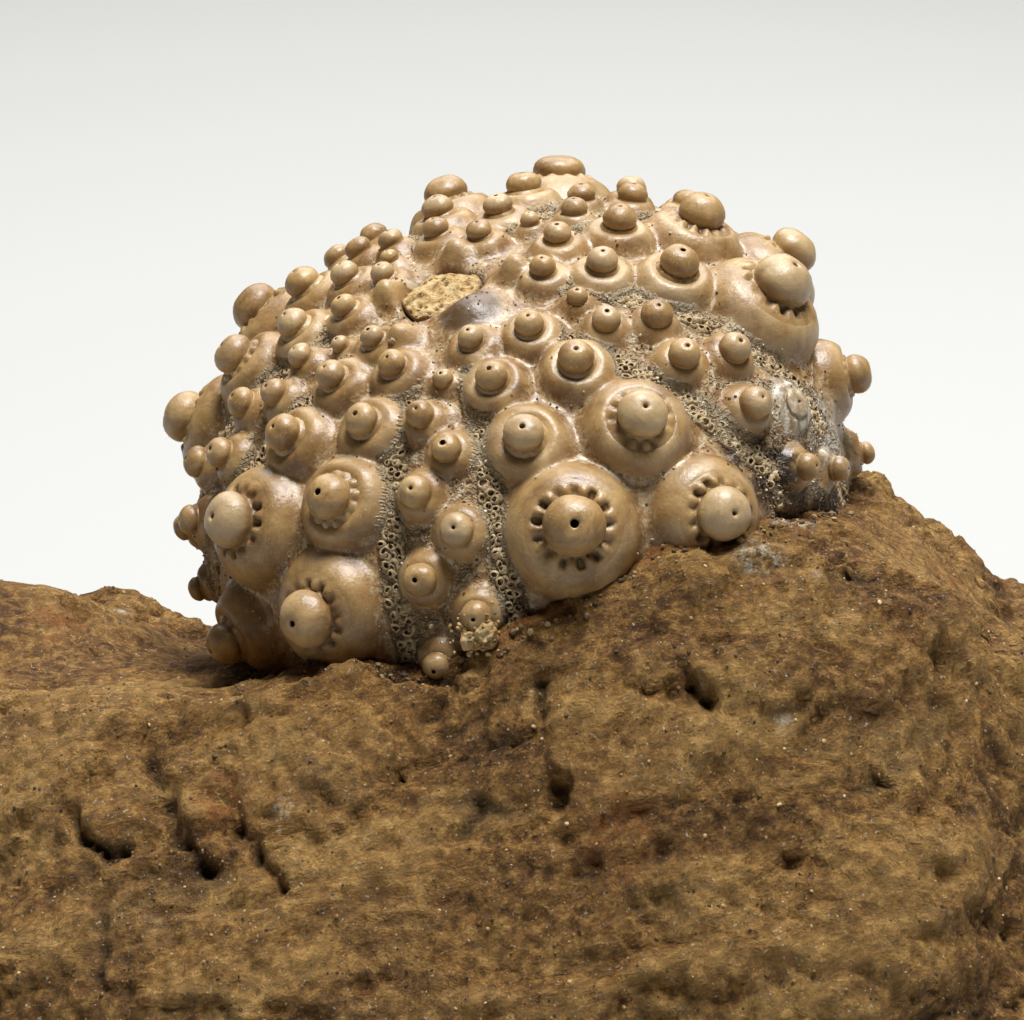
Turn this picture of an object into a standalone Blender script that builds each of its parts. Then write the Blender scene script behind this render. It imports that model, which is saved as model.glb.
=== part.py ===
"""A fossil sea urchin resting in the stone it was found in.

Three pieces: the knobbly test (the urchin's shell, turned to stone), the
plug of sediment that fills the opening at its top, and the matrix stone
that still holds its underside.  Metres, +Z up, with the origin on the
ground under the middle of the stone.
"""
import math

import bmesh
import bpy
from mathutils import Euler, Matrix, Vector, noise

# ---- the test -----------------------------------------------------------
TEST_RADIUS = 0.0225            # equator, through the feet of the mamelons
TEST_FLATNESS = 0.641           # half height over equator radius
LOWER_FULLNESS = 0.53           # below the equator the side is fuller than an ellipse
TEST_CENTRE = Vector((0.0, 0.004, 0.033))
TEST_TURN = Euler([math.radians(a) for a in (26.66, 12.57, -61.18)], "XYZ")
VALLEY_DEPTH = 0.0001           # floor between the bosses, under that surface
BODY_SEGMENTS = 20
BODY_RINGS = 9

# ---- plate columns ------------------------------------------------------
RAYS = 10                       # five broad and five narrow fields in turn
RAY_STEP = math.tau / RAYS
COLUMN_SKEW = 0.12              # plates sit further down on one side of the test
SKEW_TURN = math.radians(40)
BROAD_START = 0.299             # arcs from the pole, in test radii
BROAD_STEP = 0.1735
BROAD_GROWTH = 1.305            # each plate is this much taller than the last
BROAD_LAST_RANK = 3.75          # below this rank the plates stop growing
BROAD_LOWER_STEP = 0.27
NARROW_START = 0.37
NARROW_STEP = 0.235
BROAD_PLATES = 7                # plates in a column
NARROW_PLATES = 7
BROAD_SPREAD = (16.5, -10.2, 5.0)       # degrees off the ray's middle, by powers of the arc
NARROW_SPREAD = (3.7, 0.8, -0.3)
WORN_DOWN = ((1, 1, 3), (2, 1, 4))      # (ray, side, plate) of tubercles worn to stumps
STUMP_HEIGHT = 0.35             # of a whole tubercle's height

# mamelon radii at stations down a column: (arc in test radii, radius)
BROAD_MAMELONS = ((0.25, 0.0008), (0.65, 0.00122), (0.96, 0.00195), (1.12, 0.00165),
                  (1.32, 0.00125), (1.56, 0.00075), (1.9, 0.00065))
NARROW_MAMELONS = ((0.36, 0.0006), (0.48, 0.00088), (0.7, 0.00102), (0.97, 0.00106), (1.25, 0.00085),
                   (1.8, 0.0007))

# ---- one tubercle, in mamelon radii: (distance from its axis, height) ---
NECK = (0.9, 0.82)
BROAD_PROFILE = ((0.0, 1.9), (0.74, 1.68), (1.07, 1.17), NECK, (1.5, 0.7), (2.4, -0.3), (2.6, -1.35))
NARROW_PROFILE = ((0.0, 1.66), (0.8, 1.36), (1.08, 0.84), (1.85, -0.34), (2.0, -1.45))
BROAD_STEPS = 7
NARROW_STEPS = 6
NECKED_RADIUS = 0.00105         # a smaller mamelon is too small for a neck to show

# ---- the top of the test ------------------------------------------------
GENITAL_ARC = 0.2               # five low plate knobs round the opening
GENITAL_RADIUS = 0.00085
MADREPORITE_ARC = 0.125
MADREPORITE_RADIUS = 0.0013
MADREPORITE_HEIGHT = 0.45       # it is this much flatter than a tubercle
OPENING_RADIUS = 0.0026
OPENING_OFFSET = 0.0009         # the opening lies off the pole
OPENING_TURN = math.radians(-165)
OPENING_DEPTH = 0.0016
OPENING_CLEAR = 0.003           # its cutter reaches this far out of the test
OPENING_SIDES = 11
RIM_LOBES = ((2, 0.06, 0.0), (5, 0.05, 1.0))    # (lobes round the rim, height, turn)
PLUG_SINK = 0.0003              # the plug's top, under the rim

# ---- the stone ----------------------------------------------------------
STONE_LENGTH = 0.088
STONE_WIDTH = 0.068
FRONT_BRIM = -0.0165            # front edge of the stone's top at the middle
BACK_BRIM = 0.028
SIDE_BRIM = 0.0395
CORNER_CUT = 0.34               # how far the block's corners are rounded off
FOOT_TUCK = 0.06                # the foot is this much narrower than the widest part
TUCK_TOP = 0.3                  # up to this share of the height
SIDE_LEAN = 1.6                 # how late the sides lean in towards the top, as a power
STONE_GRID = (17, 12, 5)        # cells along X, Y and Z
# height of the stone's top where it meets the test, at stations along X
CREST = ((-0.044, 0.0195), (-0.03, 0.0193), (-0.018, 0.0195), (-0.013, 0.0217), (-0.0046, 0.0252),
         (0.0, 0.0278), (0.0053, 0.0302), (0.0115, 0.0318), (0.018, 0.0322), (0.0235, 0.031),
         (0.0275, 0.0293), (0.032, 0.0248), (0.036, 0.0208), (0.044, 0.019))
# a form of the top: its height, then where it grows in and fades out along X and along Y
RIDGE = (0.0038, (-0.031, -0.024), (0.0, 0.01))             # low, behind, at the -X end
TROUGH = (-0.002, (-0.03, -0.025), (0.0, 0.01))             # between that ridge and the test
TROUGH_END = (-0.02, -0.014)
LIP = (0.002, (-0.032, -0.022), (-0.014, -0.006))           # before the test's lowest side
LIP_END = (-0.014, -0.004)
SHOULDER = (0.0026, (0.0295, 0.0325), (0.0, 0.008))         # a second bed behind, at the +X end
BANK = (0.0115, (-0.018, -0.006), (0.01, 0.024))            # behind the test
BANK_END = (0.001, 0.013)
BACK_FALL = 0.3                 # slope of the top towards +Y
BACK_FALL_START = 0.008
LUMP_SIZES = ((0.021, 0.0016), (0.009, 0.0007))    # (spacing, height) of the stone's lumps
LUMP_START = 0.35               # share of the height at which the lumps are at full size
FIT_GAP = 0.0003
SOCKET_REACH = 5.0              # a tubercle higher than this over the stone, in radii, needs no socket


# ---- shared helpers -----------------------------------------------------
def clear_scene():
    """Remove every object of the scene."""
    for old in list(bpy.data.objects):
        bpy.data.objects.remove(old, do_unlink=True)


def new_collection(name):
    """Make a collection of the scene."""
    group = bpy.data.collections.new(name)
    bpy.context.scene.collection.children.link(group)
    return group


def add_object(name, mesh, group, material=None):
    """Put a mesh into a collection as a named object."""
    piece = bpy.data.objects.new(name, mesh)
    group.objects.link(piece)
    if material:
        mesh.materials.append(material)
    return piece


def make_cutter(piece):
    """Keep a helper solid out of the model."""
    piece.hide_render = True
    piece.display_type = "WIRE"


def plain_material(name, colour, roughness):
    """Make a Principled material of one colour."""
    material = bpy.data.materials.new(name)
    material.use_nodes = True
    shader = material.node_tree.nodes["Principled BSDF"]
    shader.inputs["Base Color"].default_value = (*colour, 1.0)
    shader.inputs["Roughness"].default_value = roughness
    shader.inputs["Metallic"].default_value = 0.0
    return material


def evaluated_mesh(piece):
    """Return a copy of an object's mesh with its modifiers applied."""
    depsgraph = bpy.context.evaluated_depsgraph_get()
    return bpy.data.meshes.new_from_object(piece.evaluated_get(depsgraph))


def add_boolean(piece, operation, operand):
    """Join or cut a piece with one object or with a whole collection."""
    modifier = piece.modifiers.new(operation.lower(), "BOOLEAN")
    modifier.operation = operation
    modifier.solver = "EXACT"
    if isinstance(operand, bpy.types.Collection):
        modifier.operand_type = "COLLECTION"
        modifier.collection = operand
    else:
        modifier.object = operand


def station_value(stations, place):
    """Read a size between the stations it is given at."""
    for (near, low), (far, high) in zip(stations, stations[1:]):
        if place <= far:
            share = max(0.0, (place - near) / (far - near))
            return low + (high - low) * share
    return stations[-1][1]


def smooth_step(low, high, value):
    """Rise softly from 0 at low to 1 at high."""
    share = min(1.0, max(0.0, (value - low) / (high - low)))
    return share * share * (3.0 - 2.0 * share)


# ---- the test's surface -------------------------------------------------
def meridian_point(angle):
    """Return a point of the test's profile at an angle down from the pole, in test radii."""
    power = 1.0 if angle <= math.pi / 2 else LOWER_FULLNESS
    across = math.sin(angle) ** power
    up = math.copysign(abs(math.cos(angle)) ** power, math.cos(angle)) * TEST_FLATNESS
    return Vector((across, 0.0, up))


def meridian_at(arc):
    """Walk an arc down the profile; return the point there and the outward normal."""
    step = math.radians(0.5)
    here = meridian_point(0.0)
    walked = 0.0
    angle = 0.0
    while walked < arc:
        angle += step
        after = meridian_point(angle)
        walked += (after - here).length
        here = after
    along = meridian_point(angle + step) - meridian_point(max(0.0, angle - step))
    return here, Vector((-along.z, 0.0, along.x)).normalized()


def test_frame(arc, azimuth):
    """Return the matrix that stands a shape on the test, its Z along the normal."""
    point, normal = meridian_at(arc)
    turn = Matrix.Rotation(azimuth, 3, "Z")
    side = turn @ Vector((0.0, 1.0, 0.0))
    up = turn @ normal
    place = turn @ point * TEST_RADIUS
    axes = Matrix((side.cross(up), side, up)).transposed().to_4x4()
    return Matrix.Translation(place) @ axes


def test_to_world():
    """Return the matrix that lays the test in the stone as it was found."""
    return Matrix.Translation(TEST_CENTRE) @ TEST_TURN.to_matrix().to_4x4()


# ---- where the tubercles stand ------------------------------------------
def column_skew(ray):
    """Return how far a ray's plates sit down the test, in plates."""
    return COLUMN_SKEW * math.sin(ray * RAY_STEP + SKEW_TURN)


def column_spread(powers, arc):
    """Return how far a column stands off its ray's middle at an arc."""
    return math.radians(sum(share * arc ** power for power, share in enumerate(powers)))


def broad_place(ray, side, plate):
    """Return the arc, azimuth and mamelon radius of one large tubercle."""
    rank = plate + side / 4 + column_skew(ray)
    grown = min(rank, BROAD_LAST_RANK)
    arc = BROAD_START + BROAD_STEP * (BROAD_GROWTH ** grown - 1.0) / (BROAD_GROWTH - 1.0)
    arc += BROAD_LOWER_STEP * (rank - grown)
    spread = column_spread(BROAD_SPREAD, arc)
    return arc, ray * RAY_STEP + side * spread, station_value(BROAD_MAMELONS, arc)


def narrow_place(ray, side, plate):
    """Return the arc, azimuth and mamelon radius of one small tubercle."""
    rank = plate + (1 - side) / 4 + column_skew(ray)
    arc = NARROW_START + NARROW_STEP * rank
    spread = column_spread(NARROW_SPREAD, arc)
    return arc, ray * RAY_STEP + side * spread, station_value(NARROW_MAMELONS, arc)


def stone_top(x, y):
    """Return the height of the stone's top over a place on the ground."""
    behind = smooth_step(*RIDGE[2], y)
    before = 1.0 - smooth_step(*LIP[2], y)
    height = station_value(CREST, x)
    height += RIDGE[0] * (1.0 - smooth_step(*RIDGE[1], x)) * behind
    height += TROUGH[0] * smooth_step(*TROUGH[1], x) * (1.0 - smooth_step(*TROUGH_END, x)) * behind
    height += LIP[0] * smooth_step(*LIP[1], x) * (1.0 - smooth_step(*LIP_END, x)) * before
    height += SHOULDER[0] * smooth_step(*SHOULDER[1], x) * smooth_step(*SHOULDER[2], y)
    bank = smooth_step(*BANK[1], x) * (1.0 - smooth_step(*BANK_END, x))
    height += BANK[0] * bank * smooth_step(*BANK[2], y)
    return height - BACK_FALL * max(0.0, y - BACK_FALL_START)


def stone_cover(point):
    """Return how far a point stands above the stone's top."""
    return point.z - stone_top(point.x, point.y)


def tubercle_places():
    """List every tubercle that is free of the stone: (frame, radius, is it broad)."""
    places = []
    for ray in range(RAYS):
        broad = ray % 2 == 0
        place_of = broad_place if broad else narrow_place
        for plate in range(BROAD_PLATES if broad else NARROW_PLATES):
            for side in (-1, 1):
                arc, azimuth, radius = place_of(ray, side, plate)
                tall = STUMP_HEIGHT if (ray, side, plate) in WORN_DOWN else 1.0
                squash = Matrix.Diagonal((1.0, 1.0, tall, 1.0))
                places.append((test_frame(arc, azimuth) @ squash, radius, broad))
        if broad:
            mother = ray == 0
            arc = MADREPORITE_ARC if mother else GENITAL_ARC
            radius = MADREPORITE_RADIUS if mother else GENITAL_RADIUS
            squash = Matrix.Diagonal((1.0, 1.0, MADREPORITE_HEIGHT if mother else 1.0, 1.0))
            places.append((test_frame(arc, ray * RAY_STEP) @ squash, radius, False))
    world = test_to_world()
    return [p for p in places if stone_cover(world @ p[0].translation) > -p[1]]


# ---- solids of the test -------------------------------------------------
def turned_mesh(name, profile, steps):
    """Turn a profile, top to bottom at +X, into a closed solid."""
    outline = bpy.data.meshes.new(name + "_outline")
    points = [(across, 0.0, up) for across, up in profile]
    points.append((0.0, 0.0, profile[-1][1]))
    outline.from_pydata(points, [(i, i + 1) for i in range(len(points) - 1)], [])
    piece = add_object(name + "_outline", outline, bpy.context.scene.collection)
    screw = piece.modifiers.new("turn", "SCREW")
    screw.steps = steps
    screw.render_steps = steps
    screw.use_merge_vertices = True
    screw.merge_threshold = 0.0001
    mesh = evaluated_mesh(piece)
    mesh.name = name
    bpy.data.objects.remove(piece, do_unlink=True)
    return mesh


def grown_profile(profile, radius, gap):
    """Scale a profile to a mamelon radius and stand it off by a gap."""
    return [(across * radius + (gap if across else 0.0), up * radius + (gap if up > 0 else 0.0))
            for across, up in profile]


def body_mesh(name, offset):
    """Make the test's smooth body, moved out by an offset."""
    shape = bmesh.new()
    bmesh.ops.create_uvsphere(shape, u_segments=BODY_SEGMENTS, v_segments=BODY_RINGS, radius=1.0)
    for vert in shape.verts:
        azimuth = math.atan2(vert.co.y, vert.co.x)
        angle = math.acos(max(-1.0, min(1.0, vert.co.z)))
        across = meridian_point(angle) * TEST_RADIUS
        out = Vector((math.sin(angle), 0.0, math.cos(angle) / TEST_FLATNESS)).normalized()
        vert.co = Matrix.Rotation(azimuth, 3, "Z") @ (across + out * offset)
    mesh = bpy.data.meshes.new(name)
    shape.to_mesh(mesh)
    shape.free()
    return mesh


def add_tubercles(group, prefix, gap, low_only):
    """Fill a cutter collection with every tubercle, stood off by a gap."""
    world = test_to_world()
    for number, (frame, radius, broad) in enumerate(tubercle_places()):
        place = world @ frame
        if low_only and stone_cover(place.translation) > SOCKET_REACH * radius:
            continue
        necked = broad and radius > NECKED_RADIUS
        profile = BROAD_PROFILE if necked else NARROW_PROFILE
        if gap:
            profile = [point for point in profile if point != NECK]
        steps = BROAD_STEPS if necked else NARROW_STEPS
        name = f"{prefix}_{number}"
        mesh = turned_mesh(name, grown_profile(profile, radius, gap), steps)
        knob = add_object(name, mesh, group)
        knob.matrix_world = place
        make_cutter(knob)


def opening_frame():
    """Return the matrix of the opening at the top, level with its rim."""
    rim = Vector((math.cos(OPENING_TURN), math.sin(OPENING_TURN), 0.0)) * OPENING_OFFSET
    rim.z = TEST_RADIUS * TEST_FLATNESS - VALLEY_DEPTH
    return test_to_world() @ Matrix.Translation(rim)


def disc_mesh(name, radius, low, high):
    """Make an uneven disc between two heights, its rim a little lobed."""
    shape = bmesh.new()
    bmesh.ops.create_cone(shape, cap_ends=True, segments=OPENING_SIDES, radius1=radius,
                          radius2=radius, depth=high - low)
    for vert in shape.verts:
        turn = math.atan2(vert.co.y, vert.co.x)
        lobe = 1.0 + sum(high * math.sin(count * turn + start) for count, high, start in RIM_LOBES)
        vert.co.x *= lobe
        vert.co.y *= lobe
        vert.co.z += (low + high) / 2
    mesh = bpy.data.meshes.new(name)
    shape.to_mesh(mesh)
    shape.free()
    return mesh


def make_test(model, cutters):
    """Build the test: body and tubercles in one solid, with the opening sunk in its top."""
    knobs = new_collection("tubercles")
    add_tubercles(knobs, "tubercle", 0.0, False)
    material = plain_material("fossil_calcite", (0.38, 0.24, 0.13), 0.5)
    test = add_object("urchin_test", body_mesh("urchin_test", -VALLEY_DEPTH), model, material)
    test.matrix_world = test_to_world()
    add_boolean(test, "UNION", knobs)
    pit = add_object("opening", disc_mesh("opening", OPENING_RADIUS, -OPENING_DEPTH, OPENING_CLEAR), cutters)
    pit.matrix_world = opening_frame()
    make_cutter(pit)
    add_boolean(test, "DIFFERENCE", pit)
    return test


def make_plug(model):
    """Build the sediment plug that fills the opening."""
    material = plain_material("fill_sediment", (0.6, 0.42, 0.18), 0.9)
    low = FIT_GAP - OPENING_DEPTH
    mesh = disc_mesh("sediment_plug", OPENING_RADIUS - FIT_GAP * 1.2, low, -PLUG_SINK)
    plug = add_object("sediment_plug", mesh, model, material)
    plug.matrix_world = opening_frame()
    return plug


# ---- the stone ----------------------------------------------------------
def stone_vertex(unit):
    """Move a corner of the unit block (each axis -1 to 1) to its place on the stone."""
    rise = (unit.z + 1.0) / 2
    lean = rise ** SIDE_LEAN
    tuck = 1.0 - FOOT_TUCK * (1.0 - smooth_step(0.0, TUCK_TOP, rise))
    across = unit.x * math.sqrt(1.0 - CORNER_CUT * unit.y ** 4) * tuck
    along = unit.y * math.sqrt(1.0 - CORNER_CUT * unit.x ** 4) * tuck
    half_length = STONE_LENGTH / 2
    half_width = STONE_WIDTH / 2
    x = across * (half_length + (SIDE_BRIM - half_length) * lean)
    brim = BACK_BRIM if along > 0 else -FRONT_BRIM
    y = along * (half_width + (brim - half_width) * lean)
    return Vector((x, y, stone_top(x, y) * rise))


def stone_lump(place, rise):
    """Return how far a point of the stone stands out, as lumps of two sizes."""
    out = sum(high * noise.noise(place / wide) for wide, high in LUMP_SIZES)
    return out * smooth_step(0.0, LUMP_START, rise)


def fit_to_size(verts):
    """Stretch the stone in the ground plane to its exact length and width, about the origin."""
    for axis, size in ((0, STONE_LENGTH), (1, STONE_WIDTH)):
        low = min(vert.co[axis] for vert in verts)
        high = max(vert.co[axis] for vert in verts)
        for vert in verts:
            vert.co[axis] = (vert.co[axis] - low) / (high - low) * size - size / 2


def stone_mesh():
    """Make the stone's block: a flat foot, leaning lumpy sides and an uneven top."""
    shape = bmesh.new()
    bmesh.ops.create_cube(shape, size=2.0)
    for axis, cells in enumerate(STONE_GRID):
        normal = Vector((0.0, 0.0, 0.0))
        normal[axis] = 1.0
        for cell in range(1, cells):
            place = normal * (2.0 * cell / cells - 1.0)
            everything = shape.verts[:] + shape.edges[:] + shape.faces[:]
            bmesh.ops.bisect_plane(shape, geom=everything, plane_co=place, plane_no=normal)
    rises = [(vert.co.z + 1.0) / 2 for vert in shape.verts]
    for vert in shape.verts:
        vert.co = stone_vertex(vert.co)
    shape.normal_update()
    moves = [vert.normal * stone_lump(vert.co, rise) for vert, rise in zip(shape.verts, rises)]
    for vert, move in zip(shape.verts, moves):
        vert.co += move
    fit_to_size(shape.verts)
    foot = [face for face in shape.faces if all(vert.co.z < 1e-6 for vert in face.verts)]
    bmesh.ops.dissolve_faces(shape, faces=foot, use_verts=True)
    mesh = bpy.data.meshes.new("matrix_stone")
    shape.to_mesh(mesh)
    shape.free()
    return mesh


def make_stone(model, cutters):
    """Build the stone, with a socket of the test's own shape."""
    material = plain_material("matrix_rock", (0.27, 0.18, 0.08), 0.85)
    stone = add_object("matrix_stone", stone_mesh(), model, material)
    socket = new_collection("socket_tubercles")
    add_tubercles(socket, "socket_tubercle", FIT_GAP, True)
    hollow = add_object("socket", body_mesh("socket", FIT_GAP - VALLEY_DEPTH), cutters)
    hollow.matrix_world = test_to_world()
    make_cutter(hollow)
    add_boolean(stone, "DIFFERENCE", hollow)
    add_boolean(stone, "DIFFERENCE", socket)
    return stone


def main():
    """Build the three pieces."""
    clear_scene()
    model = new_collection("fossil_sea_urchin")
    cutters = new_collection("cutters")
    make_test(model, cutters)
    make_plug(model)
    make_stone(model, cutters)


main()
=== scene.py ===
"""A fossil sea urchin resting in the stone it was found in.

The looks of the part: the urchin's test with its tubercles, the plug of
sediment in its top and the block of stone round its foot, on a pale floor in
soft light.  Lengths are in metres and +Z is up; the origin is on the ground
under the middle of the stone.
"""
import logging
import math
import random
from collections.abc import Iterator
from contextlib import contextmanager
from dataclasses import dataclass, field
from enum import Enum
from itertools import product

import bmesh
import bpy
import numpy as np
from mathutils import Euler, Matrix, Vector, noise


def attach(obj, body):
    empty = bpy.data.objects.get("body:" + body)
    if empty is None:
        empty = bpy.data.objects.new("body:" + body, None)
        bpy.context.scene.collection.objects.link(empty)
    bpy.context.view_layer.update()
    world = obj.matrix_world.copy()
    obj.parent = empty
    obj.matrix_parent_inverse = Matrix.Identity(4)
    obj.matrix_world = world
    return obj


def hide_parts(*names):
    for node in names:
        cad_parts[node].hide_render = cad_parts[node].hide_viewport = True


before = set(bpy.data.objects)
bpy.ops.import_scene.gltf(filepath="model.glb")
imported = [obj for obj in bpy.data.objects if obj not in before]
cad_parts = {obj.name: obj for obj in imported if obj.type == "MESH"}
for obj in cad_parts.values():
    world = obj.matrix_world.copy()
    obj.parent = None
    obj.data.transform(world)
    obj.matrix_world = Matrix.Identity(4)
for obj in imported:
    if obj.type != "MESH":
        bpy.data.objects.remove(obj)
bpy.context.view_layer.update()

log = logging.getLogger("fossil_urchin")

MM = 0.001
WELD = 1e-6
BODY = "root"
Array = np.ndarray


# ---- small tools --------------------------------------------------------
def smooth_step(low: float, high: float, value: Array) -> Array:
    """Rise softly from 0 at low to 1 at high, or fall where low is the larger.

    Args:
        low: where the result is 0.
        high: where the result is 1.
        value: the numbers to read.

    Returns:
        One share per number.
    """
    share = np.clip((value - low) / (high - low), 0.0, 1.0)
    return share * share * (3.0 - 2.0 * share)


def smooth_max(first: Array, second: Array, soft: float) -> Array:
    """Take the larger of two numbers, with a soft hand-over.

    Args:
        first: one set of numbers.
        second: the other set.
        soft: width of the hand-over.

    Returns:
        The blended larger numbers.
    """
    near = np.maximum(soft - np.abs(first - second), 0.0) / soft
    return np.maximum(first, second) + near * near * soft / 4


def noise_at(points: Array, size: float, seed: float = 0.0) -> Array:
    """Read smooth noise of about -1 to 1 at many points.

    Args:
        points: N x 3 places in metres.
        size: spacing of the lumps in metres.
        seed: shift that makes another pattern.

    Returns:
        One value per point.
    """
    scaled = points / size + seed
    return np.array([noise.noise(place) for place in scaled.tolist()])


def noise_sum(points: Array, layers: tuple[tuple[float, float, float], ...]) -> Array:
    """Add up layers of noise.

    Args:
        points: N x 3 places in metres.
        layers: spacing in millimetres, height and seed of each layer.

    Returns:
        One value per point.
    """
    return sum(high * noise_at(points, size * MM, seed) for size, high, seed in layers)


def jostled(points: Array, size: float, reach: float, seed: float) -> Array:
    """Push places about by noise.

    Args:
        points: N x 3 places in metres.
        size: spacing of the push in millimetres.
        reach: its length in millimetres.
        seed: the first of the seeds of its three axes.

    Returns:
        The pushed places.
    """
    push = [noise_at(points, size * MM, seed + axis) for axis in range(3)]
    return points + np.column_stack(push) * reach * MM


def nearest_cell(points: Array, size: float) -> Array:
    """Measure how far points lie from the nearest middle of a cell pattern.

    Args:
        points: N x 3 places in metres.
        size: spacing of the cells in metres.

    Returns:
        One distance per point, in cells.
    """
    return np.array([noise.voronoi(place)[0][0] for place in (points / size).tolist()])


def points_of(mesh: bpy.types.Mesh) -> Array:
    """Return a mesh's vertices as an N x 3 array."""
    flat = np.empty(len(mesh.vertices) * 3)
    mesh.vertices.foreach_get("co", flat)
    return flat.reshape(-1, 3)


def put_points(mesh: bpy.types.Mesh, points: Array) -> None:
    """Move a mesh's vertices to new places."""
    mesh.vertices.foreach_set("co", points.astype(np.float32).ravel())
    mesh.update()


def normals_of(mesh: bpy.types.Mesh) -> Array:
    """Return a mesh's vertex normals as an N x 3 array."""
    flat = np.empty(len(mesh.vertices) * 3, dtype=np.float32)
    mesh.vertex_normals.foreach_get("vector", flat)
    return flat.reshape(-1, 3).astype(float)


def put_values(mesh: bpy.types.Mesh, **values: Array | float) -> None:
    """Keep values in named attributes, one number per vertex or one for all.

    Args:
        mesh: the mesh.
        values: the numbers, under the names of their attributes.
    """
    for name, numbers in values.items():
        layer = mesh.attributes.get(name) or mesh.attributes.new(name, "FLOAT", "POINT")
        every = np.broadcast_to(numbers, len(mesh.vertices))
        layer.data.foreach_set("value", every.astype(np.float32))


def values_of(mesh: bpy.types.Mesh, name: str) -> Array:
    """Return a named attribute, one number per vertex."""
    values = np.empty(len(mesh.vertices), dtype=np.float32)
    mesh.attributes[name].data.foreach_get("value", values)
    return values.astype(float)


def drawn(weight: Array, count: int, seed: int) -> Array:
    """Draw vertices at random by their weight, none of them twice.

    Args:
        weight: how likely each vertex is.
        count: how many to draw.
        seed: start of the draw.

    Returns:
        Their numbers.
    """
    dice = np.random.default_rng(seed)
    return dice.choice(len(weight), count, replace=False, p=weight / weight.sum())


@contextmanager
def opened(mesh: bpy.types.Mesh) -> Iterator[bmesh.types.BMesh]:
    """Open a mesh for bmesh operators, and write it back when they are done."""
    shape = bmesh.new()
    shape.from_mesh(mesh)
    yield shape
    shape.to_mesh(mesh)
    shape.free()
    mesh.update()


def spun(outline: list[tuple[float, float]], steps: int) -> bmesh.types.BMesh:
    """Spin an outline round Z.

    Args:
        outline: pairs of distance from the axis and height.
        steps: faces round.

    Returns:
        The bmesh.
    """
    shape = bmesh.new()
    chain = [shape.verts.new((across, 0.0, up)) for across, up in outline]
    edges = [shape.edges.new(pair) for pair in zip(chain, chain[1:])]
    bmesh.ops.spin(shape, geom=chain + edges, cent=(0, 0, 0), axis=(0, 0, 1), angle=math.tau,
                   steps=steps, use_merge=True, use_duplicate=False)
    bmesh.ops.remove_doubles(shape, verts=shape.verts[:], dist=WELD)
    bmesh.ops.recalc_face_normals(shape, faces=shape.faces[:])
    return shape


def finished_mesh(shape: bmesh.types.BMesh, name: str) -> bpy.types.Mesh:
    """Turn a bmesh into a mesh with smooth faces, and free it.

    Args:
        shape: the bmesh.
        name: name of the mesh.

    Returns:
        The mesh.
    """
    for face in shape.faces:
        face.smooth = True
    mesh = bpy.data.meshes.new(name)
    shape.to_mesh(mesh)
    shape.free()
    return mesh


def show(mesh: bpy.types.Mesh, name: str, material: bpy.types.Material) -> bpy.types.Object:
    """Put a finished mesh into the scene as a piece that rides on the part.

    Args:
        mesh: the mesh, already in its place.
        name: name of the piece.
        material: its finish.

    Returns:
        The piece.
    """
    piece = bpy.data.objects.new(name, mesh)
    bpy.context.scene.collection.objects.link(piece)
    mesh.materials.append(material)
    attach(piece, BODY)
    log.info("%s: %d faces", name, len(mesh.polygons))
    return piece


@dataclass(frozen=True)
class Strewing:
    """How grains lie on a surface, in millimetres.

    A grain's size is the least one plus the spread times a chance raised to the power. It stands
    off the surface by the rise plus its size times the lift, and its shade strays by chance.
    """

    name: str
    seed: int
    count: int
    least: float
    spread: float
    power: int
    rise: float
    lift: float
    stray: float


class Grains:
    """Loose angular grains gathered into one mesh, each with a shade of its own."""

    uneven: tuple = (0.65, 1.3)

    def __init__(self, name: str, seed: int) -> None:
        """Start with no grains, and one that serves as the pattern."""
        self.name = name
        self.dice = random.Random(seed)
        self.gathered = bmesh.new()
        shape = bmesh.new()
        bmesh.ops.create_icosphere(shape, subdivisions=1, radius=1.0)
        self.pattern = bpy.data.meshes.new("grain")
        shape.to_mesh(self.pattern)
        shape.free()
        self.ball = points_of(self.pattern)

    def add(self, place: Array, size: float, shade: float) -> None:
        """Add a grain.

        Args:
            place: its middle.
            size: its mean radius in metres.
            shade: 0 dark to 1 white.
        """
        turn = np.array(Euler([self.dice.uniform(0.0, math.tau) for _ in range(3)]).to_matrix())
        form = np.array([size * self.dice.uniform(*self.uneven) for _ in range(3)])
        put_points(self.pattern, (self.ball * form) @ turn.T + place)
        put_values(self.pattern, shade=shade)
        self.gathered.from_mesh(self.pattern)

    def strew(self, mesh: bpy.types.Mesh, weight: Array, shades: Array | float,
              plan: Strewing) -> bpy.types.Mesh:
        """Strew grains over a surface.

        Args:
            mesh: the surface.
            weight: how likely each of its vertices is to carry a grain.
            shades: mean shade of a grain there.
            plan: how the grains lie.

        Returns:
            The mesh of the grains.
        """
        points, normals = points_of(mesh), normals_of(mesh)
        shades = np.broadcast_to(shades, len(points))
        for index in drawn(weight, plan.count, plan.seed):
            size = plan.least + plan.spread * self.dice.random() ** plan.power
            place = points[index] + normals[index] * (plan.rise + plan.lift * size) * MM
            self.add(place, size * MM, shades[index] + self.dice.gauss(0.0, plan.stray))
        return self.mesh()

    def mesh(self) -> bpy.types.Mesh:
        """Return the mesh of all the grains, with flat facets."""
        mesh = bpy.data.meshes.new(self.name)
        self.gathered.to_mesh(mesh)
        self.gathered.free()
        return mesh


# ---- finishes -----------------------------------------------------------
def tint(red: float, green: float, blue: float) -> tuple[float, float, float, float]:
    """Turn a colour given in 0-255 screen steps into a linear one."""
    parts = []
    for step in (red, green, blue):
        share = step / 255.0
        parts.append(share / 12.92 if share <= 0.04045 else ((share + 0.055) / 1.055) ** 2.4)
    return (*parts, 1.0)


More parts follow.
